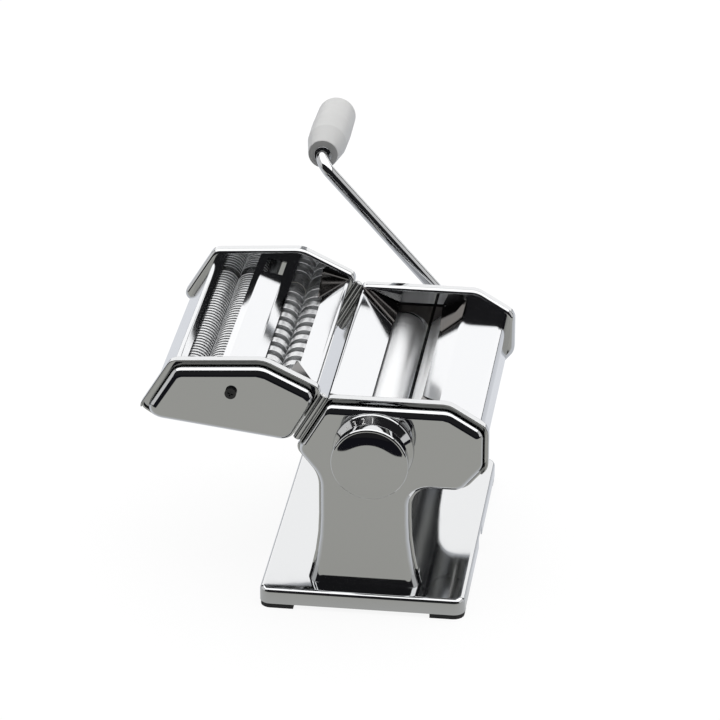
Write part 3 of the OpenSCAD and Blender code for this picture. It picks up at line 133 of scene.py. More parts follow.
soft_light("light_overhead", (0, 0.33, 2.0), (0, 0.33, 0), 4.6, 3.3, 1.9)
soft_light("light_behind", (0, 2.6, 1.25), (0, 0, 1.25), 4.6, 2.1, 1.4)
soft_light("light_left", (-2.4, 0.1, 1.0), (0, 0.1, 1.0), 2.8, 1.8, 0.8)
soft_light("light_right", (2.4, 0.1, 1.0), (0, 0.1, 1.0), 2.8, 1.8, 0.8)
world = bpy.data.worlds.new("room")
world.use_nodes = True
world.node_tree.nodes["Background"].inputs["Color"].default_value = (0.02, 0.02, 0.022, 1)
scene.world = world

# Base tray: one chromed steel sheet pressed to a shallow pan with rounded corners and edge, open below. The
# notch in its right wall lets in the rod of a table clamp.
MM = Matrix.Scale(0.001, 4)
half_w, half_d, tray_corner = 62.5, 95, 7
tray_low, deck, deck_edge, sheet = 3, 13, 3, 0.8
notch_half, notch_top = 9, 9


def left_of(v):
    """The direction to the left of a flat direction."""
    return Vector((-v.y, v.x))


def arc(a, b, c, r):
    """Points of one rounded corner at b, between a and c."""
    u, w = (b - a).normalized(), (c - b).normalized()
    bend = atan2(u.cross(w), u.dot(w))
    start = b - u * r * tan(abs(bend) / 2)
    centre = start + left_of(u) * (r if bend > 0 else -r)
    n = max(3, ceil(abs(bend) / radians(7)))
    return [centre + Matrix.Rotation(bend * k / n, 2) @ (start - centre) for k in range(n + 1)]


def rounded(corners, radii):
    """Closed outline with each corner rounded."""
    n = len(corners)
    return [q for i in range(n) for q in arc(corners[i - 1], corners[i], corners[(i + 1) % n], radii[i])]


def loop(bm, points):
    """Closed line of edges through points."""
    verts = [bm.verts.new(p) for p in points]
    return [bm.edges.new((verts[i - 1], verts[i])) for i in range(len(verts))]


def skin(bm, rings):
    """Walls from each ring to the next."""
    for a, b in zip(rings, rings[1:]):
        bmesh.ops.bridge_loops(bm, edges=a + b)


def fill(bm, edges, facing):
    """Flat face inside a rim, with the holes that lie in it."""
    bmesh.ops.triangle_fill(bm, use_beauty=True, use_dissolve=False, edges=edges, normal=facing)


def piece(name, bm, place, body, slot, material, *replaced):
    """A finished shape in millimetres becomes a piece of the frame, in metres, riding on its body."""
    bmesh.ops.transform(bm, matrix=place, verts=bm.verts)
    bmesh.ops.recalc_face_normals(bm, faces=bm.faces)
    mesh = bpy.data.meshes.new(name)
    bm.to_mesh(mesh)
    bm.free()
    mesh.shade_smooth()
    mesh.set_sharp_from_angle(angle=radians(32))
    mesh.materials.append(material)
    obj = bpy.data.objects.new(name, mesh)
    scene.collection.objects.link(obj)
    flats = obj.modifiers.new("flat_faces", "WEIGHTED_NORMAL")
    flats.keep_sharp = True
    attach(obj, body)
    if replaced:
        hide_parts(*replaced)
    return obj


def variation(name, scale, stretch, low, high):
    """Node group: a soft noise over the piece, as a value between low and high."""
    group = bpy.data.node_groups.new(name, "ShaderNodeTree")
    group.interface.new_socket("Value", in_out="OUTPUT", socket_type="NodeSocketFloat")
    where = group.nodes.new("ShaderNodeTexCoord")
    sized = group.nodes.new("ShaderNodeMapping")
    sized.inputs["Scale"].default_value = stretch
    noise = group.nodes.new("ShaderNodeTexNoise")
    noise.inputs["Scale"].default_value = scale
    noise.inputs["Detail"].default_value = 3
    spread = group.nodes.new("ShaderNodeMapRange")
    spread.inputs["From Min"].default_value = 0.3
    spread.inputs["From Max"].default_value = 0.7
    spread.inputs["To Min"].default_value = low
    spread.inputs["To Max"].default_value = high
    out = group.nodes.new("NodeGroupOutput")
    group.links.new(where.outputs["Object"], sized.inputs["Vector"])
    group.links.new(sized.outputs["Vector"], noise.inputs["Vector"])
    group.links.new(noise.outputs["Fac"], spread.inputs["Value"])
    group.links.new(spread.outputs["Result"], out.inputs["Value"])
    return group


def vary(tree, shader, socket, group):
    """Feeds a group's value into a socket of the shader."""
    node = tree.nodes.new("ShaderNodeGroup")
    node.node_tree = group
    tree.links.new(node.outputs["Value"], shader.inputs[socket])


def ripple(tree, shader, group, height):
    """Feeds a group's value into the shader's normal as a slight relief."""
    node = tree.nodes.new("ShaderNodeGroup")
    node.node_tree = group
    bump = tree.nodes.new("ShaderNodeBump")
    bump.inputs["Strength"].default_value = 1
    bump.inputs["Distance"].default_value = height
    tree.links.new(node.outputs["Value"], bump.inputs["Height"])
    tree.links.new(bump.outputs["Normal"], shader.inputs["Normal"])


chrome_haze = variation("chrome_haze", 45, (1, 1, 1), 0.03, 0.075)
sheet_wave = variation("sheet_wave", 14, (1, 1, 1), 0, 1)
chromed_sheet, tree, shader = paint(
    "chromed_sheet", {"Base Color": (0.57, 0.575, 0.58), "Metallic": 1.0})
vary(tree, shader, "Roughness", chrome_haze)
ripple(tree, shader, sheet_wave, 0.00004)

tray = [Vector(p) for p in ((-1, -1), (1, -1), (1, 1), (-1, 1))]
bm = bmesh.new()
feet = []
quarter = [pi / 20 * k for k in range(11)]
for inside in (0, sheet):
    top, curve = deck - inside, deck_edge - inside
    rings = []
    steps = [(top - curve + curve * sin(a), curve * (1 - cos(a))) for a in quarter]
    # The inner ring starts a little higher, since a bridge twists between two rings in one plane.
    for z, draw in [(tray_low + inside / 8, 0)] + steps:
        draw += inside
        corners = [Vector((p.x * (half_w - draw), p.y * (half_d - draw))) for p in tray]
        rings.append(loop(bm, [(*p, z) for p in rounded(corners, [tray_corner - draw] * 4)]))
    skin(bm, rings)
    fill(bm, rings[-1], (0, 0, 1))
    feet.append(rings[0])
skin(bm, feet)


def on_right_wall(face):
    """Whether a face of the tray lies in its right wall, below the rounded edge."""
    middle = face.calc_center_median()
    return middle.x > half_w - 1.5 and middle.z < notch_top


def with_edges(faces):
    """Faces with their edges and points, as a cut through them needs."""
    return faces + list({e for f in faces for e in f.edges}) + list({v for f in faces for v in f.verts})


for y in (-notch_half, notch_half):
    geom = with_edges([f for f in bm.faces if on_right_wall(f)])
    bmesh.ops.bisect_plane(bm, geom=geom, plane_co=(0, y, 0), plane_no=(0, 1, 0))
cut = [f for f in bm.faces if on_right_wall(f) and abs(f.calc_center_median().y) < notch_half]
bmesh.ops.delete(bm, geom=cut, context="FACES")
sides = [e for e in bm.edges if e.is_boundary and max(v.co.z for v in e.verts) > notch_top]
bmesh.ops.bridge_loops(bm, edges=sides)
piece("tray_sheet", bm, MM, "frame", "chromed_sheet", chromed_sheet, "base_tray")

# Rubber feet: black moulded blocks plugged into the corners of the tray. They lift the sheet's edge off
# the table and keep the machine from sliding.
rubber_grain = variation("rubber_grain", 900, (1, 1, 1), 0.55, 0.8)
foot_rubber, tree, shader = paint("foot_rubber", {"Base Color": (0.016, 0.016, 0.017)})
vary(tree, shader, "Roughness", rubber_grain)


def dress(material, *names):
    """Gives pieces taken over from the model their material."""
    for name in names:
        for slot in nodes[name].material_slots:
            slot.material = material


dress(foot_rubber, "rubber_feet")

# Socket, screws and nuts under the tray: zinc plated steel. The socket is welded behind the notch; the
# screws and nuts hold the feet of the side plates to the sheet.
steel_haze = variation("steel_haze", 220, (1, 1, 1), 0.28, 0.5)
plain_steel, tree, shader = paint("plain_steel", {"Base Color": (0.46, 0.47, 0.48), "Metallic": 1.0})
vary(tree, shader, "Roughness", steel_haze)
dress(plain_steel, "clamp_socket", "base_screws", "base_nuts")

# Inner side plates: chromed sheet with a rim flanged outwards round the head, standing on the tray with a
# foot tab and bored for the rollers' bushes.
HEAD = MM @ Matrix.Translation((0, 3, 13))
head_line = [Vector(p) for p in (
    (-34.5, 0), (34.5, 0), (28, 25), (28, 66), (60, 66), (74.3, 83),
    (74.3, 109.5), (50.5, 124), (-21.5, 124), (-42.285, 88), (-28, 70), (-28, 25))]
head_radii = [0.3, 0.3, 150, 13, 12, 9, 9, 14, 5, 7, 20, 150]
head_bends = [0.3, 1, 1, 1, 2.6, 2.6, 2.6, 2.6, 2.6, 2.6, 1, 1]
drive_axis, knob_axis, idler_axis = (34.5, 94), (5.988, 92.95), (4.775, 93.65)
rod_places = [(-23.2, 95), (62, 88), (-9.2, 72), (48.5, 72)]
plate_in, plate_out, lip_end, lip_t, bend_r = 76, 77, 83, 1.0, 2.6
tab_l, tab_w, tab_t = 63, 14, 1


def shift(u, v, a, b):
    """How far a corner moves when its two edges, along u and v, move to their left by a and b."""
    m, n = left_of(u), left_of(v)
    return Vector((a * n.y - b * m.y, b * m.x - a * n.x)) / m.cross(n)


def drawn_in(corners, radii, moves, more):
    """Rounded outline with its edges moved inwards; the radii hold before the last move."""
    inner, rounds = [], []
    for i, p in enumerate(corners):
        u, v = (p - corners[i - 1]).normalized(), (corners[(i + 1) % len(corners)] - p).normalized()
        inner.append(p + shift(u, v, moves[i - 1] + more[i - 1], moves[i] + more[i]))
        rounds.append(max(0.3, radii[i] - min(more[i - 1], more[i]) * (1 if u.cross(v) > 0 else -1)))
    return rounded(inner, rounds)


def ring_at(bm, y, points):
    """Ring of a side piece: flat points set upright at the depth y."""
    return loop(bm, [(p.x, y, p.y) for p in points])


def holes_at(bm, y, holes):
    """Round hole rims at the depth y."""
    rims = []
    for x, z, r in holes:
        place = Matrix.Translation((x, y, z)) @ Matrix.Rotation(pi / 2, 4, "X")
        rim = bmesh.ops.create_circle(bm, segments=48, radius=r, matrix=place)
        rims.append(list({e for v in rim["verts"] for e in v.link_edges}))
    return rims


def flanged_plate(line, radii, bends, low, side, holes):
    """Sheet with a bent rim and an outward flange above a left and a right height; side is -1 in front."""
    bm = bmesh.new()
    still = [0.01] * len(line)

    def ring(y, moves):
        return ring_at(bm, side * y, drawn_in(line, radii, still, moves))

    bend_y = plate_in + bend_r
    lip = [(0, bend_y), (0, lip_end - 0.4), (0.12, lip_end - 0.12), (0.4, lip_end)]
    lip += [(lip_t - d, y) for d, y in lip[::-1]]
    rings = [ring(y, [d] * len(line)) for d, y in lip]
    skin(bm, rings + rings[:1])
    for way, z in zip((-1, 1), low):
        geom = with_edges([f for f in bm.faces if f.calc_center_median().x * way >= 0])
        bmesh.ops.bisect_plane(bm, geom=geom, plane_co=(0, 0, z), plane_no=(0, 0, 1), clear_inner=True)
    bmesh.ops.holes_fill(bm, edges=[e for e in bm.edges if e.is_boundary], sides=0)
    turns = [pi / 18 * k for k in range(10)]
    rings = [ring(bend_y - bend_r * cos(a), [r * (1 - sin(a)) for r in bends]) for a in turns]
    rings += [ring(y, [lip_t] * len(line)) for y in (bend_y, plate_out)]
    skin(bm, rings)
    near, far = holes_at(bm, side * plate_in, holes), holes_at(bm, side * plate_out, holes)
    fill(bm, rings[0] + sum(near, []), (0, -side, 0))
    fill(bm, rings[-1] + sum(far, []), (0, side, 0))
    for a, b in zip(near, far):
        skin(bm, [a, b])
    return bm


def foot_tab(bm, side):
    """Tab at the foot of a plate, bent inwards flat on the tray."""
    place = Matrix.Translation((0, side * (plate_in - tab_w / 2), tab_t / 2))
    tab = bmesh.ops.create_cube(bm, size=1, matrix=place @ Matrix.Diagonal((tab_l, tab_w, tab_t, 1)))
    edges = list({e for v in tab["verts"] for e in v.link_edges})
    bmesh.ops.bevel(bm, geom=edges, offset=0.3, segments=2, profile=0.5, affect="EDGES", material=-1)


for name, side, bores in (
        ("front_plate_sheet", -1, [(*drive_axis, 8.52), (*knob_axis, 7.52)]),
        ("rear_plate_sheet", 1, [(*drive_axis, 10.52), (*knob_axis, 10.0)])):
    bores += [(*p, 2.05) for p in rod_places]
    bm = flanged_plate(head_line, head_radii, head_bends, (92, 79), side, bores)
    foot_tab(bm, side)
    old = "front_inner_plate" if side < 0 else "rear_inner_plate"
    piece(name, bm, HEAD, "frame", "chromed_sheet", chromed_sheet, old)

# Side covers: chromed sheet pressed to a pan with a rounded shoulder, set over the inner plates. The front
# one has the ring of setting holes under the knob, the rear one the crank's hole.
cover_face, cover_roll = 86, 6


def pressed_cover(line, radii, moves, rolls, side, holes):
    """Pan with a wall, a rolled shoulder and a flat face with holes; side is -1 in front and 1 behind."""
    bm = bmesh.new()
    edges, rims = [], []
    shoulder = [pi / 28 * k for k in range(15)]
    for inside in (0, sheet):
        face, curve = cover_face - inside, cover_roll - inside
        steps = [(face - curve + curve * sin(a), curve * (1 - cos(a))) for a in shoulder]
        rings = []
        for y, draw in [(plate_out, 0)] + steps:
            draws = [draw * roll + inside for roll in rolls]
            rings.append(ring_at(bm, side * y, drawn_in(line, radii, moves, draws)))
        skin(bm, rings)
        rims.append(holes_at(bm, side * face, holes))
        fill(bm, rings[-1] + sum(rims[-1], []), (0, side, 0))
        edges.append(rings[0])
    skin(bm, edges)
    for pair in zip(*rims):
        skin(bm, list(pair))
    return bm


head_moves = [0, 1.5, 1.5, 0.6, 2, 2.4, 3.4, 4, 1.3, 1.5, 1.5, 1.5]
head_rolls = [0, 1, 1, 1, 1, 1, 1, 1, 0.5, 1, 1, 1]
head_rounds = [0.3, 0.3, 150, 13, 10, 9, 8.5, 13, 6, 7, 20, 150]
setting_count, setting_step, setting_r, first_setting = 9, radians(15), 15, radians(150)
settings = [first_setting - setting_step * k for k in range(setting_count)]
front_holes = [(*knob_axis, 5.3)]
front_holes += [
    (knob_axis[0] + setting_r * cos(a), knob_axis[1] + setting_r * sin(a), 1.65) for a in settings]
bm = pressed_cover(head_line, head_rounds, head_moves, head_rolls, -1, front_holes)
piece("front_cover_shell", bm, HEAD, "frame", "chromed_sheet", chromed_sheet, "front_side_cover")
rear_holes = [(*drive_axis, 5), (*knob_axis, 5.62)]
bm = pressed_cover(head_line, head_rounds, head_moves, head_rolls, 1, rear_holes)
piece("rear_cover_shell", bm, HEAD, "frame", "chromed_sheet", chromed_sheet, "rear_side_cover")

# Feed plates: chromed sheet bent along the machine, held between the inner plates. The left one slopes to
# the adjusted roller; the right one has a shallow crease and folds down the right side.


def bent(line, bends):
    """Open line with its inner corners rounded."""
    middle = [arc(line[i - 1], line[i], line[i + 1], bends[i - 1]) for i in range(1, len(line) - 1)]
    return [line[0]] + [q for corner in middle for q in corner] + [line[-1]]


def bent_sheet(line, bends, y0=-plate_in, y1=plate_in):
    """Sheet bent along a line, with its thickness on the line's left, from the depth y0 to y1."""
    line = [Vector(p) for p in line]
    last = len(line) - 1
    ways = [(b - a).normalized() for a, b in zip(line, line[1:])]
    under = [line[0] + sheet * left_of(ways[0])]
    under += [line[i] + shift(ways[i - 1], ways[i], sheet, sheet) for i in range(1, last)]
    under += [line[last] + sheet * left_of(ways[-1])]
    inner = [r - sheet * (1 if ways[i].cross(ways[i + 1]) > 0 else -1) for i, r in enumerate(bends)]
    bm = bmesh.new()
    edges = ring_at(bm, y0, bent(line, bends) + bent(under, inner)[::-1])
    face = bmesh.ops.contextual_create(bm, geom=edges)["faces"]
    grown = bmesh.ops.extrude_face_region(bm, geom=face)["geom"]
    verts = [g for g in grown if isinstance(g, bmesh.types.BMVert)]
    bmesh.ops.translate(bm, vec=(0, y1 - y0, 0), verts=verts)
    return bm


satin_haze = variation("satin_haze", 40, (1, 1, 1), 0.07, 0.09)
satin_sheet, tree, shader = paint("satin_sheet", {"Base Color": (0.64, 0.645, 0.655), "Metallic": 1.0})
vary(tree, shader, "Roughness", satin_haze)
bm = bent_sheet([(0.016, 108.30), (-22.08, 121.795), (-38.765, 92.895)], [2.5])
piece("left_feed_sheet", bm, HEAD, "frame", "satin_sheet", satin_sheet, "left_feed_plate")
right_line = [(63.3, 71), (69.3, 79), (69.3, 105), (43.4, 112.4), (30.085, 108.44)]
bm = bent_sheet(right_line, [3, 8, 6])
piece("right_feed_sheet", bm, HEAD, "frame", "satin_sheet", satin_sheet, "right_feed_cover")

# End guards: steel sheet that closes the feed hopper over the roller ends, with a wing along each feed
# plate, riveted to the inner plates. The steel's colour is painted near black and a little warm: painted
# shade for the dark surroundings that the polished guards mirror.
guard_haze = variation("guard_haze", 90, (1, 1, 1), 0.05, 0.09)
guard_steel, tree, shader = paint("guard_steel", {"Base Color": (0.085, 0.08, 0.076), "Metallic": 1.0})
vary(tree, shader, "Roughness", guard_haze)
dress(guard_steel, "front_end_guard", "rear_end_guard")

# Tie rods and screws: turned steel bars that keep the inner plates apart, with a screw through the plate
# into each end.
dress(plain_steel, "tie_rods", "tie_rod_screws")

# Scrapers and bushes: moulded white nylon. The scrapers stand below the rollers and keep them clean; the
# bushes are pressed into the plates and carry the rollers.
nylon_haze = variation("nylon_haze", 120, (1, 1, 1), 0.38, 0.55)
bush_plastic, tree, shader = paint("bush_plastic", {"Base Color": (0.62, 0.61, 0.57)})
vary(tree, shader, "Roughness", nylon_haze)
dress(bush_plastic, "left_scraper", "right_scraper", "drive_roller_bushes", "adjuster_bushes",
      "idler_bushes")

# Guide rails: chromed beads welded along the head's leaning edge. The cutter's slotted tubes slide down
# over them.
dress(chromed_sheet, "guide_rails")

# Smooth rollers: turned anodised aluminium with eased ends. The driven one has a gear neck with the crank's
# socket; the adjusted one is hollow and runs on bushes.
roller_r, roller_half, front_end_y, rear_end_y = 13.5, 75.5, 79.2, 84.6
socket_r, socket_end = 4.1, 54.6


def turned(profile, axis, steps=96):
    """Turned piece: a line of points (radius, depth) spun about an axis along Y."""
    bm = bmesh.new()
    verts = [bm.verts.new((axis[0] + r, y, axis[1])) for r, y in profile]
    edges = [bm.edges.new(pair) for pair in zip(verts, verts[1:])]
    bmesh.ops.spin(
        bm, geom=verts + edges, cent=(axis[0], 0, axis[1]), axis=(0, 1, 0), angle=2 * pi, steps=steps,
        use_merge=True)
    bmesh.ops.remove_doubles(bm, verts=bm.verts, dist=0.0005)
    return bm


def eased(points, radii):
    """Profile line with rounded corners; one radius for each inner point."""
    return [tuple(p) for p in bent([Vector(p) for p in points], radii)]


lathe_marks = variation("lathe_marks", 60, (1, 14, 1), 0.3, 0.4)
roller_aluminium, tree, shader = paint(
    "roller_aluminium", {"Base Color": (0.76, 0.765, 0.77), "Metallic": 1.0})
vary(tree, shader, "Roughness", lathe_marks)
bm = turned(eased(
    [(0, -front_end_y), (6, -front_end_y), (6, -roller_half), (roller_r, -roller_half),
     (roller_r, roller_half), (8, roller_half), (8, rear_end_y), (socket_r, rear_end_y),
     (socket_r, socket_end), (0, socket_end)], [0.4, 0.3, 0.5, 0.5, 0.3, 0.4, 0.4, 0.3]), drive_axis)
piece("driven_smooth_roller", bm, HEAD, "drive", "roller_aluminium", roller_aluminium, "drive_roller")
bm = turned(eased(
    [(8.6, -74), (8.6, -roller_half), (roller_r, -roller_half), (roller_r, roller_half), (8, roller_half),
     (8, 83.5), (6.3, 83.5), (6.3, 73.5), (8.6, 73.5), (8.6, -74)],
    [0.3, 0.5, 0.5, 0.3, 0.4, 0.4, 0.2, 0.2]), idler_axis)
piece("adjusted_smooth_roller", bm, HEAD, "idler", "roller_aluminium", roller_aluminium, "idler_roller")

# Gears, adjusting shaft and its small parts: plain steel, turned and cut. They sit behind the rear plate
# and inside the knob, where a screw and a washer hold the spring.
dress(plain_steel, "drive_gear", "idler_gear", "adjuster_shaft", "shaft_washer", "shaft_screw", "index_pin",
      "knob_spring", "grip_washer")

# Thickness knob: a hollow chromed knob with a sloping skirt, a neck and a rim, and a nearly flat cap
# pressed into its front. The settings are numbered on the skirt with white paint.
chromed_knob, tree, shader = paint("chromed_knob", {"Base Color": (0.57, 0.575, 0.58), "Metallic": 1.0})
vary(tree, shader, "Roughness", chrome_haze)
body = [(4.05, 6.6), (4.05, 0.4), (8, 0.4), (8, 4.5), (18.5, 4.5), (18.5, 0.4)]
skirt = [(18.5, 0.4), (24.3, 0.4), (24.3, 2.2), (19.1, 6.8)]
rim = [(19.1, 8.6), (22.6, 12), (22.6, 18.6), (11, 18.6)]
body += eased(skirt + rim, [0.5, 1.4, 1.2, 1.4, 1.6, 0.4])[1:]
body += [(11, 6.6), (4.05, 6.6)]
bm = turned([(r, -cover_face - d) for r, d in body], knob_axis)
piece("knob_shell", bm, HEAD, "knob", "chromed_knob", chromed_knob, "thickness_knob")
cap = [(0, 19.2), (9.8, 19.2), (9.8, 16), (10.98, 16), (10.98, 18.6)]
cap += eased([(10.98, 18.6), (23.2, 18.6), (23.2, 20.4), (21.6, 20.43)], [0.3, 1.3])[1:]
cap += [(21.4 * k / 24, 22 - 1.6 * (max(0, k - 13) / 11) ** 2) for k in range(24, -1, -1)]
bm = turned([(r, -cover_face - d) for r, d in cap], knob_axis)
piece("knob_cap_disc", bm, HEAD, "knob", "chromed_knob", chromed_knob, "knob_cap")
paint_wear = variation("paint_wear", 500, (1, 1, 1), 0.35, 0.6)
number_paint, tree, shader = paint("number_paint", {"Base Color": (0.8, 0.8, 0.79)})
vary(tree, shader, "Roughness", paint_wear)
number_size, number_depth, number_r, skirt_lean = 5.2, 5.95, 20.15, radians(48.5)
bm = bmesh.new()
for k in range(setting_count):
    letters = bpy.data.curves.new("number", "FONT")
    letters.body, letters.size, letters.align_x = str(k + 1), number_size, "CENTER"
    holder = bpy.data.objects.new("number", letters)
    flat = bpy.data.meshes.new_from_object(holder)
    place = Matrix.Translation((knob_axis[0], -cover_face - number_depth, knob_axis[1]))
    place @= Matrix.Rotation(-setting_step * k, 4, "Y") @ Matrix.Translation((0, 0, number_r))
    flat.transform(place @ Matrix.Rotation(skirt_lean, 4, "X"))
    bm.from_mesh(flat)
    bpy.data.objects.remove(holder)
    bpy.data.curves.remove(letters)
    bpy.data.meshes.remove(flat)
piece("knob_numbers", bm, HEAD, "knob", None, number_paint)

# Crank: one chromed round rod bent twice, with a flattened tip for the roller's socket and a pressed-on
# collar in front of the grip.
rod_r, tip_r, tip_flat, crank_r, rod_bend, arm_y = 4, 3.5, 2.5, 132, 10, 98
chromed_rod, tree, shader = paint("chromed_rod", {"Base Color": (0.57, 0.575, 0.58), "Metallic": 1.0})
vary(tree, shader, "Roughness", chrome_haze)
crank_angle = radians(131.4)
CRANK = HEAD @ Matrix.Translation((drive_axis[0], 0, drive_axis[1]))
CRANK @= Matrix.Rotation(-crank_angle, 4, "Y")
bm = bmesh.new()
bmesh.ops.create_circle(
    bm, cap_ends=True, segments=40, radius=tip_r - 0.3,
    matrix=Matrix.Translation((0, socket_end + 1, 0)) @ Matrix.Rotation(pi / 2, 4, "X"))


def grow(bm, edges, step, widen=1.0, centre=(0, 0, 0)):
    """Draws the open end of a rod out by a step; gives the new end's edges."""
    new = bmesh.ops.extrude_edge_only(bm, edges=edges)["geom"]
    verts = [g for g in new if isinstance(g, bmesh.types.BMVert)]
    bmesh.ops.translate(bm, vec=step, verts=verts)
    bmesh.ops.scale(bm, vec=(widen, 1, widen), verts=verts, space=Matrix.Translation(-Vector(centre)))
    return [g for g in new if isinstance(g, bmesh.types.BMEdge)]


def bend_rod(bm, edges, centre, angle):
    """Carries the open end of a rod round a bend."""
    verts = list({v for e in edges for v in e.verts})
    last = bmesh.ops.spin(
        bm, geom=verts + edges, cent=centre, axis=(0, 0, 1), angle=angle, steps=18)["geom_last"]
    return [g for g in last if isinstance(g, bmesh.types.BMEdge)]


end = grow(bm, bm.edges[:], (0, 0.3, 0), tip_r / (tip_r - 0.3))
end = grow(bm, end, (0, 7.7, 0))
for v in bm.verts:
    v.co.x = max(-tip_flat, min(tip_flat, v.co.x))
end = grow(bm, end, (0, 0.01, 0))
for v in {v for e in end for v in e.verts}:
    v.co.z *= rod_r / tip_r
    v.co.x = max(0, rod_r ** 2 - v.co.z ** 2) ** 0.5 * (1 if v.co.x > 0 else -1)
end = grow(bm, end, (0, 34.39, 0))
end = bend_rod(bm, end, (rod_bend, arm_y, 0), -pi / 2)
end = grow(bm, end, (crank_r - 2 * rod_bend, 0, 0))
end = bend_rod(bm, end, (crank_r - rod_bend, arm_y + 2 * rod_bend, 0), pi / 2)
end = grow(bm, end, (0, 66, 0))
end = grow(bm, end, (0, 0.4, 0), 0.9, (crank_r, 0, 0))
bmesh.ops.holes_fill(bm, edges=end, sides=0)


def join(bm, other):
    """Adds a second shape to a first one."""
    extra = bpy.data.meshes.new("extra")
    other.to_mesh(extra)
    other.free()
    bm.from_mesh(extra)
    bpy.data.meshes.remove(extra)


collar = eased([(3.9, 118.7), (5.6, 118.7), (5.6, 119.7), (3.9, 119.7)], [0.3, 0.3])
join(bm, turned(collar + collar[:1], (crank_r, 0), 64))
piece("crank_rod", bm, CRANK, "crank", "chromed_rod", chromed_rod, "crank_arm")

# Grip: light grey moulded plastic with a slightly swollen body. It is slipped over the rod, turns on it and
# is held by a washer sunk into its end.
grip_grain = variation("grip_grain", 260, (1, 1, 1), 0.34, 0.46)
grip_plastic, tree, shader = paint("grip_plastic", {"Base Color": (0.45, 0.45, 0.445)})
vary(tree, shader, "Roughness", grip_grain)
outer = eased(
    [(4.1, 120), (9.3, 120), (9.6, 120.9), (12.4, 139), (12.8, 158), (12.1, 188.8), (7.2, 188.8),
     (7.2, 182), (4.1, 182), (4.1, 120)], [0.4, 0.6, 1.5, 90, 4.6, 0.2, 0.3, 0.3])
bm = turned(outer, (crank_r, 0))
piece("grip_handle", bm, CRANK, "grip", "grip_plastic", grip_plastic, "crank_grip")

# Cutter attachment: its own flanged plates and pressed covers of chromed sheet, made like the head's and
# held together by tie rods.
cutter_line = [Vector(p) for p in (
    (-45.575, 92.3), (-24.38, 129.011), (-60, 146.4), (-116.4, 142.8), (-136.8, 109.8), (-126, 102.6))]
cutter_radii, cutter_rounds = [8, 6, 18, 8, 5, 12], [8, 7, 16, 9, 7, 14]
cutter_bends = [1, bend_r, bend_r, bend_r, bend_r, 1]
cutter_axes = [(-108.6, 121.8), (-91.4, 121.8), (-64.9, 116.8), (-47.7, 116.8)]
cutter_rods = [(-79.5, 125.3), (-125, 109.5), (-48, 103)]
for name, side, driven, old in (
        ("cutter_front_sheet", -1, 4.72, "cutter_front_plate"),
        ("cutter_rear_sheet", 1, 7.02, "cutter_rear_plate")):
    bores = [(*p, driven if i % 2 == 0 else 4.72) for i, p in enumerate(cutter_axes)]
    bores += [(*p, 1.8) for p in cutter_rods]
    bm = flanged_plate(cutter_line, cutter_radii, cutter_bends, (110.8, 124), side, bores)
    piece(name, bm, HEAD, "cutter", "chromed_sheet", chromed_sheet, old)
cutter_moves = [1.2, 4, 4, 4, 1.5, 1.2]
cutter_rolls = [0.4, 1, 1, 1, 1, 1]
for name, side, old in (
        ("cutter_front_shell", -1, "cutter_front_cover"), ("cutter_rear_shell", 1, "cutter_rear_cover")):
    holes = [(*cutter_rods[0], 1.8)]
    if side > 0:
        holes += [(*cutter_axes[0], 5), (*cutter_axes[2], 5)]
    bm = pressed_cover(cutter_line, cutter_rounds, cutter_moves, cutter_rolls, side, holes)
    piece(name, bm, HEAD, "cutter", "chromed_sheet", chromed_sheet, old)

# Cutter's feed covers: three bent chromed sheets between its plates, which lead the dough to the two pairs
# of cutting rollers. The middle one is cut back along its ridge at both ends.
cover_inset, ridge_cut = 4, 10
inner = [p + shift(
    (p - cutter_line[i - 1]).normalized(), (cutter_line[(i + 1) % 6] - p).normalized(),
    cover_inset, cover_inset)
    for i, p in enumerate(cutter_line)]
down = (inner[4] - inner[3]).normalized()
bm = bent_sheet([(-110.458, 132.337), inner[3] + 1.5 * down, inner[4] - 2 * down], [2])
piece("cutter_left_sheet", bm, HEAD, "cutter", "satin_sheet", satin_sheet, "cutter_left_cover")
ridge = [Vector(p) for p in ((-65.65, 127.47), (-70.2, 132.5), (-84.6, 134.9), (-89.542, 132.337))]
along = (ridge[1] - ridge[2]) / (ridge[1].x - ridge[2].x)
bm = bent_sheet(ridge, [1.5, 1.5], ridge_cut - plate_in, plate_in - ridge_cut)
for y in (-plate_in, plate_in - ridge_cut):
    join(bm, bent_sheet(ridge[:2] + [ridge[1] - along], [1.5], y, y + ridge_cut))
    join(bm, bent_sheet([ridge[2] + along] + ridge[2:], [1.5], y, y + ridge_cut))
piece("cutter_centre_sheet", bm, HEAD, "cutter", "satin_sheet", satin_sheet, "cutter_centre_cover")
bm = bent_sheet([(-41.36, 105.21), (-28.26, 127.9), (-44, 126.3)], [2])
piece("cutter_right_sheet", bm, HEAD, "cutter", "satin_sheet", satin_sheet, "cutter_right_cover")
# The cutter's end guards take the same near-black colour, painted shade for what they mirror.
dress(guard_steel, "cutter_end_guards")
dress(chromed_sheet, "cutter_slides")

# Cutter's rods, screws, gears and bushes: plain steel and white nylon, inside the covers. One blackened
# cross-recess screw shows in the middle of each cover.
dress(plain_steel, "cutter_tie_rods", "cutter_rod_screws", "fine_gear_left", "fine_gear_right",
      "wide_gear_left", "wide_gear_right")
dress(bush_plastic, "cutter_bushes")
dark_haze = variation("dark_haze", 300, (1, 1, 1), 0.14, 0.24)
dark_screw, tree, shader = paint("dark_screw", {"Base Color": (0.05, 0.05, 0.052), "Metallic": 0.8})
vary(tree, shader, "Roughness", dark_haze)
dress(dark_screw, "cutter_cover_screws")

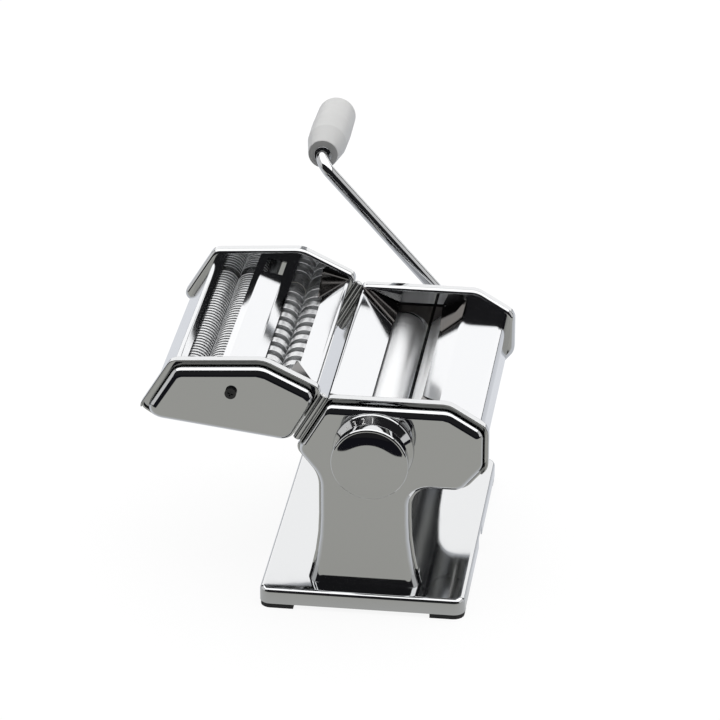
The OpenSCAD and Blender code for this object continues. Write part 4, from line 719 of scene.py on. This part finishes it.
# Cutting rollers: steel bars turned to rings and grooves, in pairs whose rings run in each other's grooves,
# with combs below them.
ring_r, groove_r, journal_r, ring_ease = 9.2, 6.8, 3.5, 0.15
cutter_marks = variation("cutter_marks", 80, (1, 12, 1), 0.24, 0.36)
cutter_steel, tree, shader = paint("cutter_steel", {"Base Color": (0.60, 0.605, 0.61), "Metallic": 1.0})
vary(tree, shader, "Roughness", cutter_marks)
dress(cutter_steel, "fine_combs", "wide_combs")


def cutting_roller(pitch, offset, rear, bore):
    """Profile of a cutting roller with its rings, its journals and, on a driven one, the crank's socket."""
    half = pitch / 4 - 0.1
    line = [(0, -front_end_y), (journal_r, -front_end_y)]
    line += [(journal_r, -roller_half), (groove_r, -roller_half)]
    count = int(roller_half / pitch)
    middles = [k * pitch + offset for k in range(-count, count + 1)]
    for y in [y for y in middles if abs(y) < roller_half - pitch / 2]:
        line += [(groove_r, y - half), (ring_r - ring_ease, y - half), (ring_r, y - half + ring_ease)]
        line += [(ring_r, y + half - ring_ease), (ring_r - ring_ease, y + half), (groove_r, y + half)]
    line += [(groove_r, roller_half)] + rear
    return line + (bore or [(0, rear[-1][1])])


socket = [(socket_r, rear_end_y), (socket_r, socket_end), (0, socket_end)]
driven_end = [(5.8, roller_half), (5.8, rear_end_y)]
plain_end = [(journal_r, roller_half), (journal_r, rear_end_y - 1)]
fine_pitch, wide_pitch = 3.6, 12
for name, body, axis, pitch, offset, rear, bore in (
        ("fine_cutter_left", "fine_left", cutter_axes[0], fine_pitch, 0, driven_end, socket),
        ("fine_cutter_right", "fine_right", cutter_axes[1], fine_pitch, fine_pitch / 2, plain_end, None),
        ("wide_cutter_left", "wide_left", cutter_axes[2], wide_pitch, 0, driven_end, socket),
        ("wide_cutter_right", "wide_right", cutter_axes[3], wide_pitch, wide_pitch / 2, plain_end, None)):
    bm = turned(cutting_roller(pitch, offset, rear, bore), axis, 64)
    piece(name.replace("cutter", "cutting_roller"), bm, HEAD, body, "cutter_steel", cutter_steel, name)
